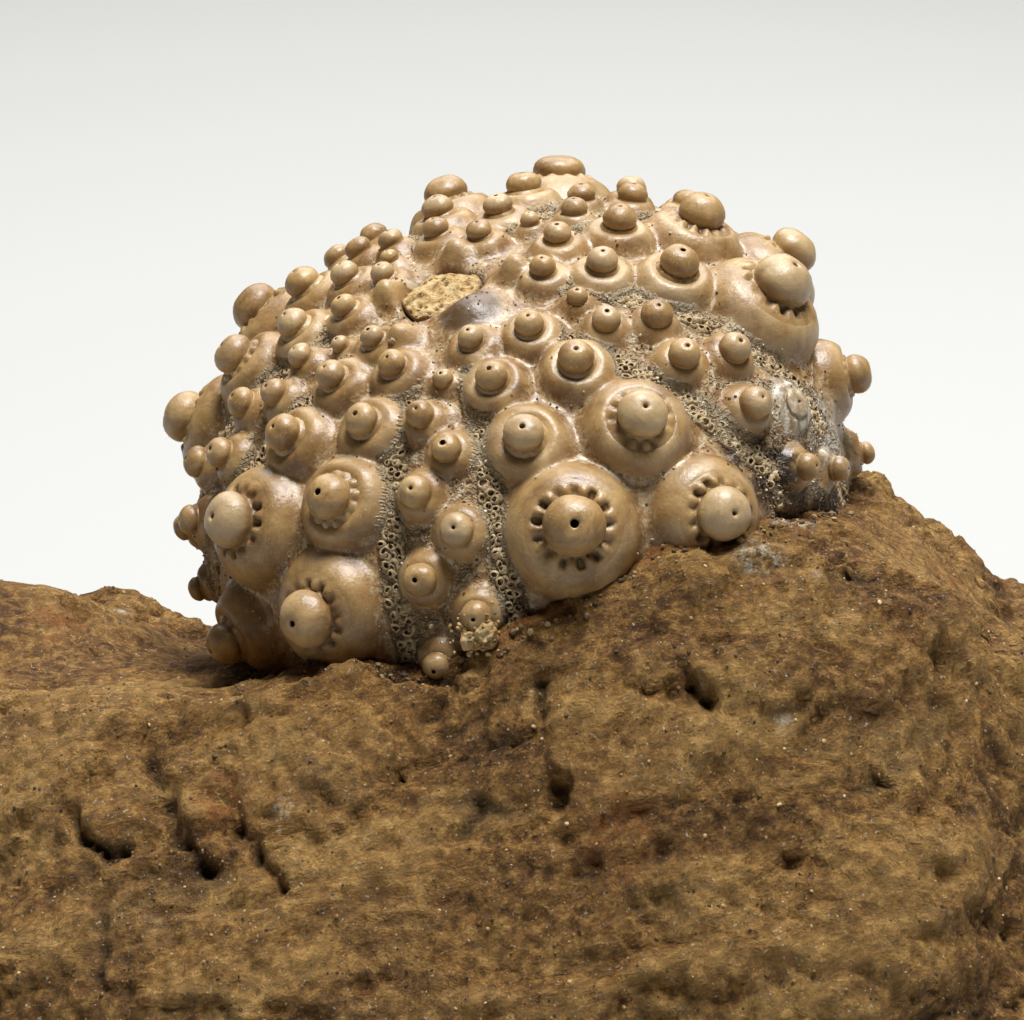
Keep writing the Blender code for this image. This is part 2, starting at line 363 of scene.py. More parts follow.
class NodeBoard:
    """A material's node tree, with short calls that add and wire its nodes."""

    def __init__(self, name: str) -> None:
        """Start a material with a Principled shader and millimetre coordinates."""
        self.material = bpy.data.materials.new(name)
        self.material.use_nodes = True
        self.tree = self.material.node_tree
        self.shader = self.tree.nodes["Principled BSDF"]
        own = self.add("TexCoord", {}).outputs["Object"]
        self.place = self.add("Mapping", {"Scale": (1.0 / MM,) * 3, "Vector": own}).outputs["Vector"]

    def feed(self, socket: bpy.types.NodeSocket, value: object) -> None:
        """Link a socket to another, or set its number or colour."""
        if isinstance(value, bpy.types.NodeSocket):
            self.tree.links.new(value, socket)
        else:
            socket.default_value = value

    def add(self, kind: str, inputs: dict, **settings: str) -> bpy.types.Node:
        """Add a node.

        Args:
            kind: its type.
            inputs: sockets or values for its inputs, by name or number.
            settings: its own settings.

        Returns:
            The node.
        """
        node = self.tree.nodes.new("ShaderNode" + kind)
        for name, choice in settings.items():
            setattr(node, name, choice)
        for name, value in inputs.items():
            self.feed(node.inputs[name], value)
        return node

    def noise(self, size: float, detail: float = 3.0, rough: float = 0.5, twist: float = 0.0,
              place: object = None) -> bpy.types.NodeSocket:
        """Add noise.

        Args:
            size: spacing of its lumps in millimetres.
            detail: octaves of finer noise.
            rough: strength of the finer noise.
            twist: distortion.
            place: coordinates, if not the object's own.

        Returns:
            The noise value.
        """
        inputs = {"Vector": place or self.place, "Scale": 1.0 / size, "Detail": detail, "Roughness": rough,
                  "Distortion": twist}
        return self.add("TexNoise", inputs).outputs[0]

    def cells(self, size: float, feature: str = "F1", place: object = None) -> bpy.types.NodeSocket:
        """Add a cell pattern.

        Args:
            size: spacing of the cells in millimetres.
            feature: F1 or DISTANCE_TO_EDGE.
            place: coordinates, if not the object's own.

        Returns:
            The distance value.
        """
        inputs = {"Vector": place or self.place, "Scale": 1.0 / size}
        return self.add("TexVoronoi", inputs, feature=feature).outputs["Distance"]

    def wobble(self, size: float, reach: float) -> bpy.types.NodeSocket:
        """Return coordinates that noise pushes about.

        Args:
            size: spacing of the push in millimetres.
            reach: its length in millimetres.

        Returns:
            The pushed coordinates.
        """
        push = self.add("TexNoise", {"Vector": self.place, "Scale": 1.0 / size}).outputs["Color"]
        inputs = {0: push, 1: (reach,) * 3, 2: self.place}
        return self.add("VectorMath", inputs, operation="MULTIPLY_ADD").outputs["Vector"]

    def stretched(self, scale: tuple[float, float, float], turn: tuple[float, float, float]) -> object:
        """Return turned and stretched coordinates.

        Args:
            scale: factor along each axis.
            turn: rotation in degrees.

        Returns:
            The coordinates.
        """
        angles = [math.radians(angle) for angle in turn]
        inputs = {"Scale": scale, "Rotation": angles, "Vector": self.place}
        return self.add("Mapping", inputs, vector_type="TEXTURE").outputs["Vector"]

    def value(self, name: str) -> bpy.types.NodeSocket:
        """Read a named attribute of the piece."""
        return self.add("Attribute", {}, attribute_name=name).outputs["Fac"]

    def band(self, value: object, low: float, high: float) -> bpy.types.NodeSocket:
        """Map a value softly to 0 at low and 1 at high.

        Args:
            value: the value to read.
            low: where the result is 0.
            high: where the result is 1.

        Returns:
            The share.
        """
        turned = low > high
        inputs = {"Value": value, "From Min": min(low, high), "From Max": max(low, high),
                  "To Min": float(turned), "To Max": float(not turned)}
        return self.add("MapRange", inputs, interpolation_type="SMOOTHSTEP").outputs["Result"]

    def math(self, operation: str, first: object, second: object = 0.0, third: object = 0.0) -> object:
        """Add a math node.

        Args:
            operation: its operation.
            first: first value.
            second: second value.
            third: third value, where the operation takes one.

        Returns:
            The result.
        """
        return self.add("Math", {0: first, 1: second, 2: third}, operation=operation).outputs[0]

    def times(self, first: object, second: object) -> object:
        """Multiply two values."""
        return self.math("MULTIPLY", first, second)

    def mix(self, share: object, first: object, second: object, blend: str = "MIX") -> object:
        """Mix two colours.

        Args:
            share: how much of the second.
            first: first colour.
            second: second colour.
            blend: how they mix.

        Returns:
            The colour.
        """
        inputs = {0: share, 6: first, 7: second}
        return self.add("Mix", inputs, data_type="RGBA", blend_type=blend).outputs[2]

    def ramp(self, value: object, stops: tuple) -> bpy.types.NodeSocket:
        """Turn a value into a colour.

        Args:
            value: the value to read.
            stops: pairs of place and colour.

        Returns:
            The colour.
        """
        node = self.add("ValToRGB", {0: value})
        scale = node.color_ramp.elements
        while len(scale) < len(stops):
            scale.new(0.5)
        for element, (place, colour) in zip(scale, stops):
            element.position = place
            element.color = colour
        return node.outputs["Color"]

    def bump(self, height: object, depth: float, normal: object = None) -> bpy.types.NodeSocket:
        """Add relief.

        Args:
            height: the height value.
            depth: its full height in millimetres.
            normal: relief to add to.

        Returns:
            The normal.
        """
        inputs = {"Distance": depth * MM, "Height": height}
        if normal:
            inputs["Normal"] = normal
        return self.add("Bump", inputs).outputs["Normal"]

    def finish(self, colour: object, rough: object, normal: object) -> bpy.types.Material:
        """Wire the colour, roughness and relief to the shader.

        Args:
            colour: base colour.
            rough: roughness.
            normal: relief.

        Returns:
            The material.
        """
        self.feed(self.shader.inputs["Base Color"], colour)
        self.feed(self.shader.inputs["Roughness"], rough)
        self.feed(self.shader.inputs["Normal"], normal)
        return self.material


@dataclass(frozen=True)
class CalciteFinish:
    """Waxy tan calcite on the bosses and a sugary crust between them; spacings in millimetres."""

    tan: tuple = tint(154, 122, 77)
    pale: tuple = tint(184, 154, 105)
    brown: tuple = tint(114, 84, 52)
    speck: tuple = tint(206, 188, 156)
    crust_pale: tuple = tint(200, 184, 150)
    crust_tan: tuple = tint(134, 106, 68)
    crust_dark: tuple = tint(76, 55, 33)
    suture: tuple = tint(204, 190, 162)
    hole: tuple = tint(40, 26, 16)
    grey: tuple = tint(158, 150, 134)
    char: tuple = tint(36, 28, 20)
    white: tuple = tint(236, 230, 214)
    shadow: tuple = tint(204, 182, 156)
    cloud_size: float = 2.6
    speck_size: float = 0.13
    patch_size: float = 1.1
    stain_size: float = 0.6
    net_size: float = 0.44
    hollow_size: float = 0.34
    sugar_size: float = 0.2
    painted_glint_size: float = 0.09
    streak_size: float = 0.5
    grit_size: float = 0.3
    edge_size: float = 0.6
    grime_size: float = 0.8
    break_size: float = 1.0
    skin_size: float = 0.35
    crust_depth: float = 0.3
    skin_depth: float = 0.05
    smooth_gloss: float = 0.36
    crust_gloss: float = 0.66
    glow: float = 0.1
    glow_reach: float = 0.6 * MM
    glow_tint: tuple = (1.0, 0.6, 0.35)

    def smooth_tone(self, board: NodeBoard) -> object:
        """Colour the bosses: clouds of tan, fine pale specks and faint brown stains.

        Args:
            board: the material's nodes.

        Returns:
            The colour.
        """
        cloud = board.noise(self.cloud_size, 7.0, 0.68, 0.5)
        tone = board.ramp(cloud, ((0.3, self.brown), (0.48, self.tan), (0.7, self.pale)))
        speck = board.band(board.noise(self.speck_size, 2.0, 0.6), 0.6, 0.7)
        patch = board.band(board.noise(self.patch_size, 3.0, 0.6), 0.42, 0.62)
        tone = board.mix(board.times(speck, board.times(patch, 0.55)), tone, self.speck)
        tone = board.mix(board.times(board.value("chalk"), 0.38), tone, self.speck)
        stain = board.band(board.noise(self.stain_size, 4.0, 0.65, 0.6), 0.58, 0.74)
        return board.mix(board.times(stain, 0.45), tone, self.brown)

    def crust_tone(self, board: NodeBoard, net: object, grain: object) -> object:
        """Colour the crust: tan sugar, with a white net where the piece says so, and painted white glints.

        Args:
            board: the material's nodes.
            net: the net of fine walls.
            grain: fine grain.

        Returns:
            The colour.
        """
        sugar = board.ramp(grain, ((0.3, self.crust_dark), (0.44, self.crust_tan), (0.64, self.pale)))
        whiteness = board.value("chalk")
        pale = board.ramp(grain, ((0.3, self.crust_tan), (0.52, self.crust_pale)))
        tone = board.mix(board.math("MULTIPLY_ADD", whiteness, 0.7, 0.15), sugar, pale)
        strength = board.math("MULTIPLY_ADD", whiteness, 0.6, 0.16)
        tone = board.mix(board.times(net, strength), tone, self.crust_pale)
        hollow = board.band(board.cells(self.hollow_size, "F1", board.wobble(0.5, 0.3)), 0.3, 0.12)
        tone = board.mix(board.times(hollow, 0.45), tone, self.crust_dark)
        # painted glints: tiny white spots that stand in for glints of light
        painted_glint = board.band(board.noise(self.painted_glint_size, 1.0, 0.5), 0.66, 0.72)
        return board.mix(board.times(painted_glint, 0.8), tone, self.white)

    def weathered(self, board: NodeBoard, tone: object) -> object:
        """Add grey streaky weathering, blackened crust with painted shade near the stone, stained pores, and
        painted shade in holes, necks and notches.

        Args:
            board: the material's nodes.
            tone: the colour so far.

        Returns:
            The colour.
        """
        leaning = board.stretched((1.0, 1.0, 4.0), (20.0, 25.0, 0.0))
        streak = board.noise(self.streak_size, 4.0, 0.7, 0.0, leaning)
        grey = board.ramp(streak, ((0.36, self.crust_tan), (0.5, self.grey), (0.64, self.white)))
        grit = board.noise(self.grit_size, 4.0, 0.75)
        black = board.ramp(grit, ((0.46, self.char), (0.56, self.crust_dark), (0.66, self.crust_pale)))
        # dirt is blackened crust plus painted shade near the stone; crevice is painted shade
        for name, colour in (("grey", grey), ("dirt", black), ("pore", self.crust_dark),
                             ("crevice", self.hole)):
            tone = board.mix(board.value(name), tone, colour)
        return tone

    def material(self, name: str) -> bpy.types.Material:
        """Make the material of the test.

        Args:
            name: name of the material.

        Returns:
            The material.
        """
        board = NodeBoard(name)
        low = board.math("SUBTRACT", board.value("boss"), 0.35)
        ragged = board.math("MULTIPLY_ADD", board.noise(self.edge_size, 4.0, 0.65), 0.9, low)
        boss = board.band(ragged, 0.2, 0.85)
        walls = board.cells(self.net_size, "DISTANCE_TO_EDGE", board.wobble(0.7, 0.4))
        net = board.band(walls, 0.17, 0.02)
        grain = board.noise(self.sugar_size, 3.0, 0.65)
        crust = self.crust_tone(board, net, grain)
        tone = board.mix(boss, crust, self.smooth_tone(board))
        valley = board.value("valley")
        # painted shade in the valleys between the bosses; the same multiply also darkens the mother plate
        tone = board.mix(board.times(valley, 0.85), tone, self.shadow, "MULTIPLY")
        grime = board.band(board.noise(self.grime_size, 5.0, 0.7, 0.4), 0.4, 0.62)
        grime = board.times(board.band(valley, 0.4, 0.9), board.times(grime, 0.8))
        tone = board.mix(grime, tone, crust)
        broken = board.math("MULTIPLY_ADD", board.noise(self.break_size, 4.0, 0.7), 1.8, -1.0)
        line = board.band(board.math("ADD", board.value("suture"), broken), 0.72, 0.95)
        tone = board.mix(board.times(line, 0.7), tone, self.suture)
        tone = self.weathered(board, tone)
        rough = board.math("MULTIPLY_ADD", boss, self.smooth_gloss - self.crust_gloss, self.crust_gloss)
        relief = board.math("ADD", board.times(net, 0.6), grain)
        relief = board.times(relief, board.math("SUBTRACT", 1.0, boss))
        normal = board.bump(relief, self.crust_depth)
        normal = board.bump(board.noise(self.skin_size, 5.0, 0.62), self.skin_depth, normal)
        board.shader.inputs["Subsurface Weight"].default_value = self.glow
        board.shader.inputs["Subsurface Radius"].default_value = self.glow_tint
        board.shader.inputs["Subsurface Scale"].default_value = self.glow_reach
        return board.finish(tone, rough, normal)


@dataclass(frozen=True)
class PoreFinish:
    """The pale net of calcite round the pores."""

    pale: tuple = tint(196, 176, 138)
    tan: tuple = tint(138, 108, 70)
    dark: tuple = tint(50, 34, 20)
    grain_size: float = 0.22
    grain_depth: float = 0.12
    gloss: float = 0.6

    def material(self, name: str) -> bpy.types.Material:
        """Make the material of the pore rims.

        Args:
            name: name of the material.

        Returns:
            The material.
        """
        board = NodeBoard(name)
        grain = board.noise(self.grain_size, 4.0, 0.65)
        pale = board.ramp(grain, ((0.34, self.tan), (0.56, self.pale)))
        tan = board.ramp(grain, ((0.24, self.dark), (0.42, self.tan), (0.66, self.pale)))
        colour = board.mix(board.value("chalk"), tan, pale)
        # painted shade in the pore holes
        colour = board.mix(board.value("crevice"), colour, self.dark)
        return board.finish(colour, self.gloss, board.bump(grain, self.grain_depth))


@dataclass(frozen=True)
class GrainFinish:
    """Loose grains whose shade runs from dark to white, grain by grain."""

    dark: tuple
    middle: tuple
    light: tuple
    gloss: float = 0.45
    cloud_size: float = 0.3
    skin_size: float = 0.12
    skin_depth: float = 0.03

    def material(self, name: str) -> bpy.types.Material:
        """Make the material of the grains.

        Args:
            name: name of the material.

        Returns:
            The material.
        """
        board = NodeBoard(name)
        low = board.math("SUBTRACT", board.value("shade"), 0.2)
        cloud = board.math("MULTIPLY_ADD", board.noise(self.cloud_size, 3.0, 0.6), 0.4, low)
        colour = board.ramp(cloud, ((0.15, self.dark), (0.5, self.middle), (0.85, self.light)))
        return board.finish(colour, self.gloss, board.bump(board.noise(self.skin_size, 2.0), self.skin_depth))


@dataclass(frozen=True)
class SedimentFinish:
    """Crumbly ochre sediment."""

    light: tuple = tint(220, 196, 148)
    ochre: tuple = tint(190, 154, 98)
    dark: tuple = tint(100, 70, 36)
    cloud_size: float = 0.9
    pit_size: float = 0.36
    grain_size: float = 0.14
    depth: float = 0.2
    gloss: float = 0.88

    def material(self, name: str) -> bpy.types.Material:
        """Make the material of the sediment.

        Args:
            name: name of the material.

        Returns:
            The material.
        """
        board = NodeBoard(name)
        cloud = board.noise(self.cloud_size, 5.0, 0.65)
        colour = board.ramp(cloud, ((0.32, self.dark), (0.46, self.ochre), (0.66, self.light)))
        pit = board.band(board.cells(self.pit_size, "F1", board.wobble(0.4, 0.3)), 0.22, 0.06)
        colour = board.mix(pit, colour, self.dark)
        # painted shade from crevice, in the plug's pits and its edge gap
        colour = board.mix(board.value("crevice"), colour, self.dark)
        grain = board.noise(self.grain_size, 3.0, 0.7)
        return board.finish(colour, self.gloss, board.bump(board.math("SUBTRACT", grain, pit), self.depth))


@dataclass(frozen=True)
class RockFinish:
    """Coarse ochre-brown rock with a painted highlight on its raised relief and painted shade in its hollows;
    spacings in millimetres.
    """

    ochre: tuple = tint(160, 116, 56)
    brown: tuple = tint(98, 65, 30)
    dark: tuple = tint(40, 27, 15)
    light: tuple = tint(210, 168, 98)
    chalk: tuple = tint(226, 216, 190)
    rust: tuple = tint(150, 88, 36)
    bed_turn: tuple = (0.0, -20.0, 0.0)
    cloud_size: float = 5.0
    cloud_stretch: tuple = (1.9, 1.2, 1.0)
    cloud_depth: float = 1.6
    grain_size: float = 0.7
    grain_stretch: tuple = (1.4, 1.0, 1.0)
    grain_share: float = 0.62
    grain_depth: float = 1.1
    speck_size: float = 0.26
    chalk_size: float = 0.9
    rust_size: float = 1.4
    gloss_size: float = 0.4
    gloss: tuple = (0.55, 0.3)
    pock_size: float = 0.5
    pock_depth: float = -0.3
    sand_size: float = 0.2
    sand_depth: float = 0.2
    shine: float = 0.3

    def material(self, name: str) -> bpy.types.Material:
        """Make the material of the stone.

        Args:
            name: name of the material.

        Returns:
            The material.
        """
        board = NodeBoard(name)
        bedded = board.stretched(self.cloud_stretch, self.bed_turn)
        cloud = board.noise(self.cloud_size, 6.0, 0.66, 0.5, bedded)
        drawn_out = board.stretched(self.grain_stretch, self.bed_turn)
        grain = board.noise(self.grain_size, 6.0, 0.78, 0.2, drawn_out)
        colour = self.shaded_and_worn_tone(board, self.base_tone(board, cloud, grain))
        rough = board.band(board.noise(self.gloss_size, 2.0), 0.2, 0.9)
        rough = board.math("MULTIPLY_ADD", rough, self.gloss[1], self.gloss[0])
        normal = board.bump(board.cells(self.pock_size, "F1", board.wobble(0.6, 0.4)), self.pock_depth)
        normal = board.bump(cloud, self.cloud_depth, board.bump(grain, self.grain_depth, normal))
        normal = board.bump(board.noise(self.sand_size, 4.0, 0.75), self.sand_depth, normal)
        board.shader.inputs["Specular IOR Level"].default_value = self.shine
        return board.finish(colour, rough, normal)

    def base_tone(self, board: NodeBoard, cloud: object, grain: object) -> object:
        """Colour the rock: broad beds with coarse grains in them.

        Args:
            board: the material's nodes.
            cloud: the broad beds.
            grain: the coarse grain.

        Returns:
            The colour.
        """
        beds = board.ramp(cloud, ((0.39, self.brown), (0.5, self.ochre), (0.61, self.light)))
        steps = ((0.36, self.dark), (0.45, self.brown), (0.54, self.ochre), (0.64, self.light))
        return board.mix(self.grain_share, beds, board.ramp(grain, steps))

    def shaded_and_worn_tone(self, board: NodeBoard, colour: object) -> object:
        """Add a painted highlight on raised relief, painted shade in hollows, white specks, chalky chips and
        rust.

        Args:
            board: the material's nodes.
            colour: the colour so far.

        Returns:
            The colour.
        """
        height = board.value("height")
        speck = board.band(board.noise(self.speck_size, 2.0, 0.5), 0.66, 0.73)
        chipped = board.band(board.noise(self.chalk_size, 5.0, 0.75, 0.5), 0.42, 0.6)
        rusty = board.band(board.noise(self.rust_size, 5.0, 0.7), 0.4, 0.64)
        # painted highlight where the relief stands high, painted shade where it sinks
        layers = ((board.band(height, -0.2, 0.5), 0.2, self.light),
                  (board.band(height, -0.6, -1.5), 0.7, self.dark),
                  (speck, 0.6, self.chalk),
                  (board.value("chalk"), chipped, self.chalk),
                  (board.value("rust"), rusty, self.rust))
        for share, strength, layer in layers:
            colour = board.mix(board.times(share, strength), colour, layer)
        return colour


@dataclass(frozen=True)
class FloorFinish:
    """A plain pale floor."""

    pale: tuple = tint(170, 170, 167)
    paler: tuple = tint(174, 174, 171)
    cloud_size: float = 400.0
    skin_size: float = 3.0
    skin_depth: float = 0.01
    gloss: float = 0.7

    def material(self, name: str) -> bpy.types.Material:
        """Make the material of the floor.

        Args:
            name: name of the material.

        Returns:
            The material.
        """
        board = NodeBoard(name)
        colour = board.ramp(board.noise(self.cloud_size, 2.0), ((0.0, self.pale), (1.0, self.paler)))
        return board.finish(colour, self.gloss, board.bump(board.noise(self.skin_size), self.skin_depth))


# ---- the shape of the test ----------------------------------------------
class Field(Enum):
    """The kinds of knob on the test."""

    BROAD = 0
    NARROW = 1
    PLATE = 2


@dataclass(frozen=True)
class Boss:
    """The swelling that carries a mamelon, and how far its smooth plate reaches, in mamelon radii."""

    profile: tuple[tuple[float, float], ...]
    foot: float
    plate: tuple[float, float]


BOSSES = {
    Field.BROAD: Boss(((0.0, 0.5), (1.2, 0.54), (1.36, 0.62), (1.5, 0.66), (1.6, 0.618), (1.8, 0.49),
                       (2.0, 0.24), (2.2, -0.14), (2.36, -0.6), (2.5, -1.15), (2.7, -2.0), (3.8, -5.0)),
                      2.3, (4.2, 2.6)),
    Field.NARROW: Boss(((0.0, 0.5), (0.92, 0.56), (1.1, 0.55), (1.3, 0.46), (1.5, 0.26), (1.68, -0.06),
                        (1.82, -0.5), (1.95, -1.1), (2.2, -2.0), (3.2, -4.4)), 1.8, (2.5, 1.4)),
    Field.PLATE: Boss(((0.0, 1.5), (0.35, 1.42), (0.7, 1.12), (1.0, 0.72), (1.35, 0.24), (1.85, -0.36),
                       (2.3, -1.1), (3.2, -2.6)), 1.85, (3.0, 2.2)),
}


@dataclass(frozen=True)
class Tubercle:
    """One tubercle: where it stands, its mamelon's radius, its kind and how tall it still is."""

    place: Matrix
    radius: float
    field: Field
    tall: float

    @property
    def centre(self) -> Array:
        """Return its foot."""
        return np.array(self.place.translation)

    @property
    def axis(self) -> Array:
        """Return the direction it points in."""
        return np.array(self.place.col[2][:3])

    @property
    def boss(self) -> Boss:
        """Return the shape of its boss."""
        return BOSSES[self.field]


@dataclass(frozen=True)
class TestShape:
    """The urchin's test as a set of rules: profile, lie, plate columns and pore bands."""

    radius: float = 0.0225
    flatness: float = 0.641
    fullness: float = 0.53
    centre: Vector = field(default_factory=lambda: Vector((0.0, 0.004, 0.033)))
    turn: tuple = (math.radians(26.66), math.radians(12.57), math.radians(-61.18))
    valley: float = 0.0001
    rays: int = 10
    skew: float = 0.12
    skew_turn: float = math.radians(40)
    broad_start: float = 0.299
    broad_step: float = 0.1735
    broad_growth: float = 1.305
    broad_last: float = 3.75
    broad_lower_step: float = 0.27
    broad_spread: tuple = (16.5, -10.2, 5.0)
    narrow_start: float = 0.37
    narrow_step: float = 0.235
    narrow_spread: tuple = (3.7, 0.8, -0.3)
    plates: int = 7
    worn: tuple = ((1, 1, 3), (2, 1, 4))
    stump: float = 0.35
    broad_sizes: tuple = ((0.25, 0.0008), (0.65, 0.00122), (0.96, 0.00195), (1.12, 0.00165),
                          (1.32, 0.00125), (1.56, 0.00075), (1.9, 0.00065))
    narrow_sizes: tuple = ((0.36, 0.0006), (0.48, 0.00088), (0.7, 0.00102), (0.97, 0.00106),
                           (1.25, 0.00085), (1.8, 0.0007))
    genital_arc: float = 0.2
    genital_radius: float = 0.00085
    mother_arc: float = 0.125
    mother_radius: float = 0.0013
    mother_tall: float = 0.45
    opening_radius: float = 0.0026
    opening_offset: float = 0.0009
    opening_turn: float = math.radians(-165)
    opening_depth: float = 0.0016
    rim_lobes: tuple = ((2, 0.06, 0.0), (5, 0.05, 1.0))
    pore_half_width: float = 0.00095
    pore_clearance: float = 1.3
    pore_gap: float = 0.9
    arc_degrees: float = 0.5

    def meridian(self, angle: Array) -> tuple[Array, Array]:
        """Return the profile's distance from the axis and height, in test radii.

        Args:
            angle: angles down from the pole.

        Returns:
            The distances and the heights.
        """
        power = np.where(angle <= math.pi / 2, 1.0, self.fullness)
        across = np.maximum(np.sin(angle), 0.0) ** power
        up = np.sign(np.cos(angle)) * np.abs(np.cos(angle)) ** power * self.flatness
        return across, up

    def arc_table(self) -> tuple[Array, Array]:
        """Return angles down the profile and the arc walked to each, in test radii."""
        angles = np.radians(np.arange(0.0, 180.0, self.arc_degrees))
        across, up = self.meridian(angles)
        arcs = np.concatenate(([0.0], np.cumsum(np.hypot(np.diff(across), np.diff(up)))))
        return angles, arcs

    def frame_at(self, arc: float, azimuth: float) -> Matrix:
        """Stand a shape on the test.

        Args:
            arc: arc from the pole in test radii.
            azimuth: turn about the pole.

        Returns:
            A matrix in the test's own axes, its Z along the surface normal.
        """
        angles, arcs = self.arc_table()
        step = math.radians(self.arc_degrees)
        angle = float(angles[np.searchsorted(arcs, arc)])
        near, far = max(0.0, angle - step), angle + step
        across, up = self.meridian(np.array([near, angle, far]))
        normal = Vector((up[0] - up[2], 0.0, across[2] - across[0])).normalized()
        turn = Matrix.Rotation(azimuth, 3, "Z")
        side = turn @ Vector((0.0, 1.0, 0.0))
        out = turn @ normal
        place = turn @ Vector((across[1], 0.0, up[1])) * self.radius
        axes = Matrix((side.cross(out), side, out)).transposed().to_4x4()
        return Matrix.Translation(place) @ axes

    def world(self) -> Matrix:
        """Return the matrix that lays the test in the stone."""
        return Matrix.Translation(self.centre) @ Euler(self.turn).to_matrix().to_4x4()

    def local(self, points: Array) -> Array:
        """Turn places in the part's frame into the test's own axes."""
        back = self.world().inverted()
        return points @ np.array(back.to_3x3()).T + np.array(back.translation)

    def ray_step(self) -> float:
        """Return the turn between neighbouring rays."""
        return math.tau / self.rays

    def ray_skew(self, ray: int) -> float:
        """Return how far a ray's plates sit down the test, in plates."""
        return self.skew * math.sin(ray * self.ray_step() + self.skew_turn)

    def column_spread(self, powers: tuple, arc: Array) -> Array:
        """Return how far a column stands off its ray's middle, as an angle.

        Args:
            powers: degrees by powers of the arc.
            arc: arc from the pole in test radii.

        Returns:
            The angle.
        """
        return np.radians(sum(share * arc ** power for power, share in enumerate(powers)))

    def broad_place(self, ray: int, side: int, plate: int) -> tuple[float, float, float]:
        """Place a large tubercle.

        Args:
            ray: number of its ray.
            side: column, -1 or 1.
            plate: plate from the top.

        Returns:
            Arc, azimuth and mamelon radius.
        """
        rank = plate + side / 4 + self.ray_skew(ray)
        grown = min(rank, self.broad_last)
        steps = (self.broad_growth ** grown - 1.0) / (self.broad_growth - 1.0)
        arc = self.broad_start + self.broad_step * steps + self.broad_lower_step * (rank - grown)
        spread = float(self.column_spread(self.broad_spread, arc))
        return arc, ray * self.ray_step() + side * spread, float(np.interp(arc, *zip(*self.broad_sizes)))

    def narrow_place(self, ray: int, side: int, plate: int) -> tuple[float, float, float]:
        """Place a small tubercle.

        Args:
            ray: number of its ray.
            side: column, -1 or 1.
            plate: plate from the top.

        Returns:
            Arc, azimuth and mamelon radius.
        """
        rank = plate + (1 - side) / 4 + self.ray_skew(ray)
        arc = self.narrow_start + self.narrow_step * rank
        spread = float(self.column_spread(self.narrow_spread, arc))
        return arc, ray * self.ray_step() + side * spread, float(np.interp(arc, *zip(*self.narrow_sizes)))

    def tubercles(self, stone: "StoneShape") -> list[Tubercle]:
        """List every tubercle that the stone leaves free.

        Args:
            stone: the stone round the test.

        Returns:
            The tubercles, in the part's own frame.
        """
        found = []
        for ray in range(self.rays):
            broad = ray % 2 == 0
            kind = Field.BROAD if broad else Field.NARROW
            place_of = self.broad_place if broad else self.narrow_place
            for plate in range(self.plates):
                for side in (-1, 1):
                    arc, azimuth, radius = place_of(ray, side, plate)
                    tall = self.stump if (ray, side, plate) in self.worn else 1.0
                    found.append((arc, azimuth, radius, kind, tall))
            if broad and ray == 0:
                found.append((self.mother_arc, 0.0, self.mother_radius, Field.PLATE, self.mother_tall))
            elif broad:
                found.append((self.genital_arc, ray * self.ray_step(), self.genital_radius, Field.PLATE, 1.0))
        kept = []
        for arc, azimuth, radius, kind, tall in found:
            place = self.world() @ self.frame_at(arc, azimuth)
            foot = place.translation
            if foot.z - float(stone.top(foot.x, foot.y)) > -radius:
                kept.append(Tubercle(place, radius, kind, tall))
        return kept

    def pore_offset(self, arc: Array) -> Array:
        """Return the distance from a narrow ray's middle to its pore bands, in metres.

        Args:
            arc: arcs from the pole in test radii.

        Returns:
            One distance per arc.
        """
        angles, arcs = self.arc_table()
        across, _ = self.meridian(np.interp(arc, arcs, angles))
        knob = np.interp(arc, *zip(*self.narrow_sizes))
        spread = self.column_spread(self.narrow_spread, arc)
        clearance = self.pore_clearance * knob + self.pore_half_width * self.pore_gap
        return spread * across * self.radius + clearance

    def rim_radius(self, turn: Array) -> Array:
        """Return the opening's radius in a direction, as a share of its mean."""
        return 1.0 + sum(high * np.sin(count * turn + start) for count, high, start in self.rim_lobes)

    def opening_place(self) -> Matrix:
        """Return the matrix of the opening, level with its rim."""
        rim = Vector((math.cos(self.opening_turn), math.sin(self.opening_turn), 0.0)) * self.opening_offset
        rim.z = self.radius * self.flatness - self.valley
        return self.world() @ Matrix.Translation(rim)


@dataclass(frozen=True)
class Swell:
    """A rise or dip of the stone's top: its height, and where it grows in and fades out."""

    height: float
    x_in: tuple[float, float] = (-2.0, -1.0)
    x_out: tuple[float, float] = (1.0, 2.0)
    y_in: tuple[float, float] = (-2.0, -1.0)
    y_out: tuple[float, float] = (1.0, 2.0)

    def at(self, x: Array, y: Array) -> Array:
        """Return its height at places on the ground."""
        along = smooth_step(*self.x_in, x) * (1.0 - smooth_step(*self.x_out, x))
        across = smooth_step(*self.y_in, y) * (1.0 - smooth_step(*self.y_out, y))
        return self.height * along * across


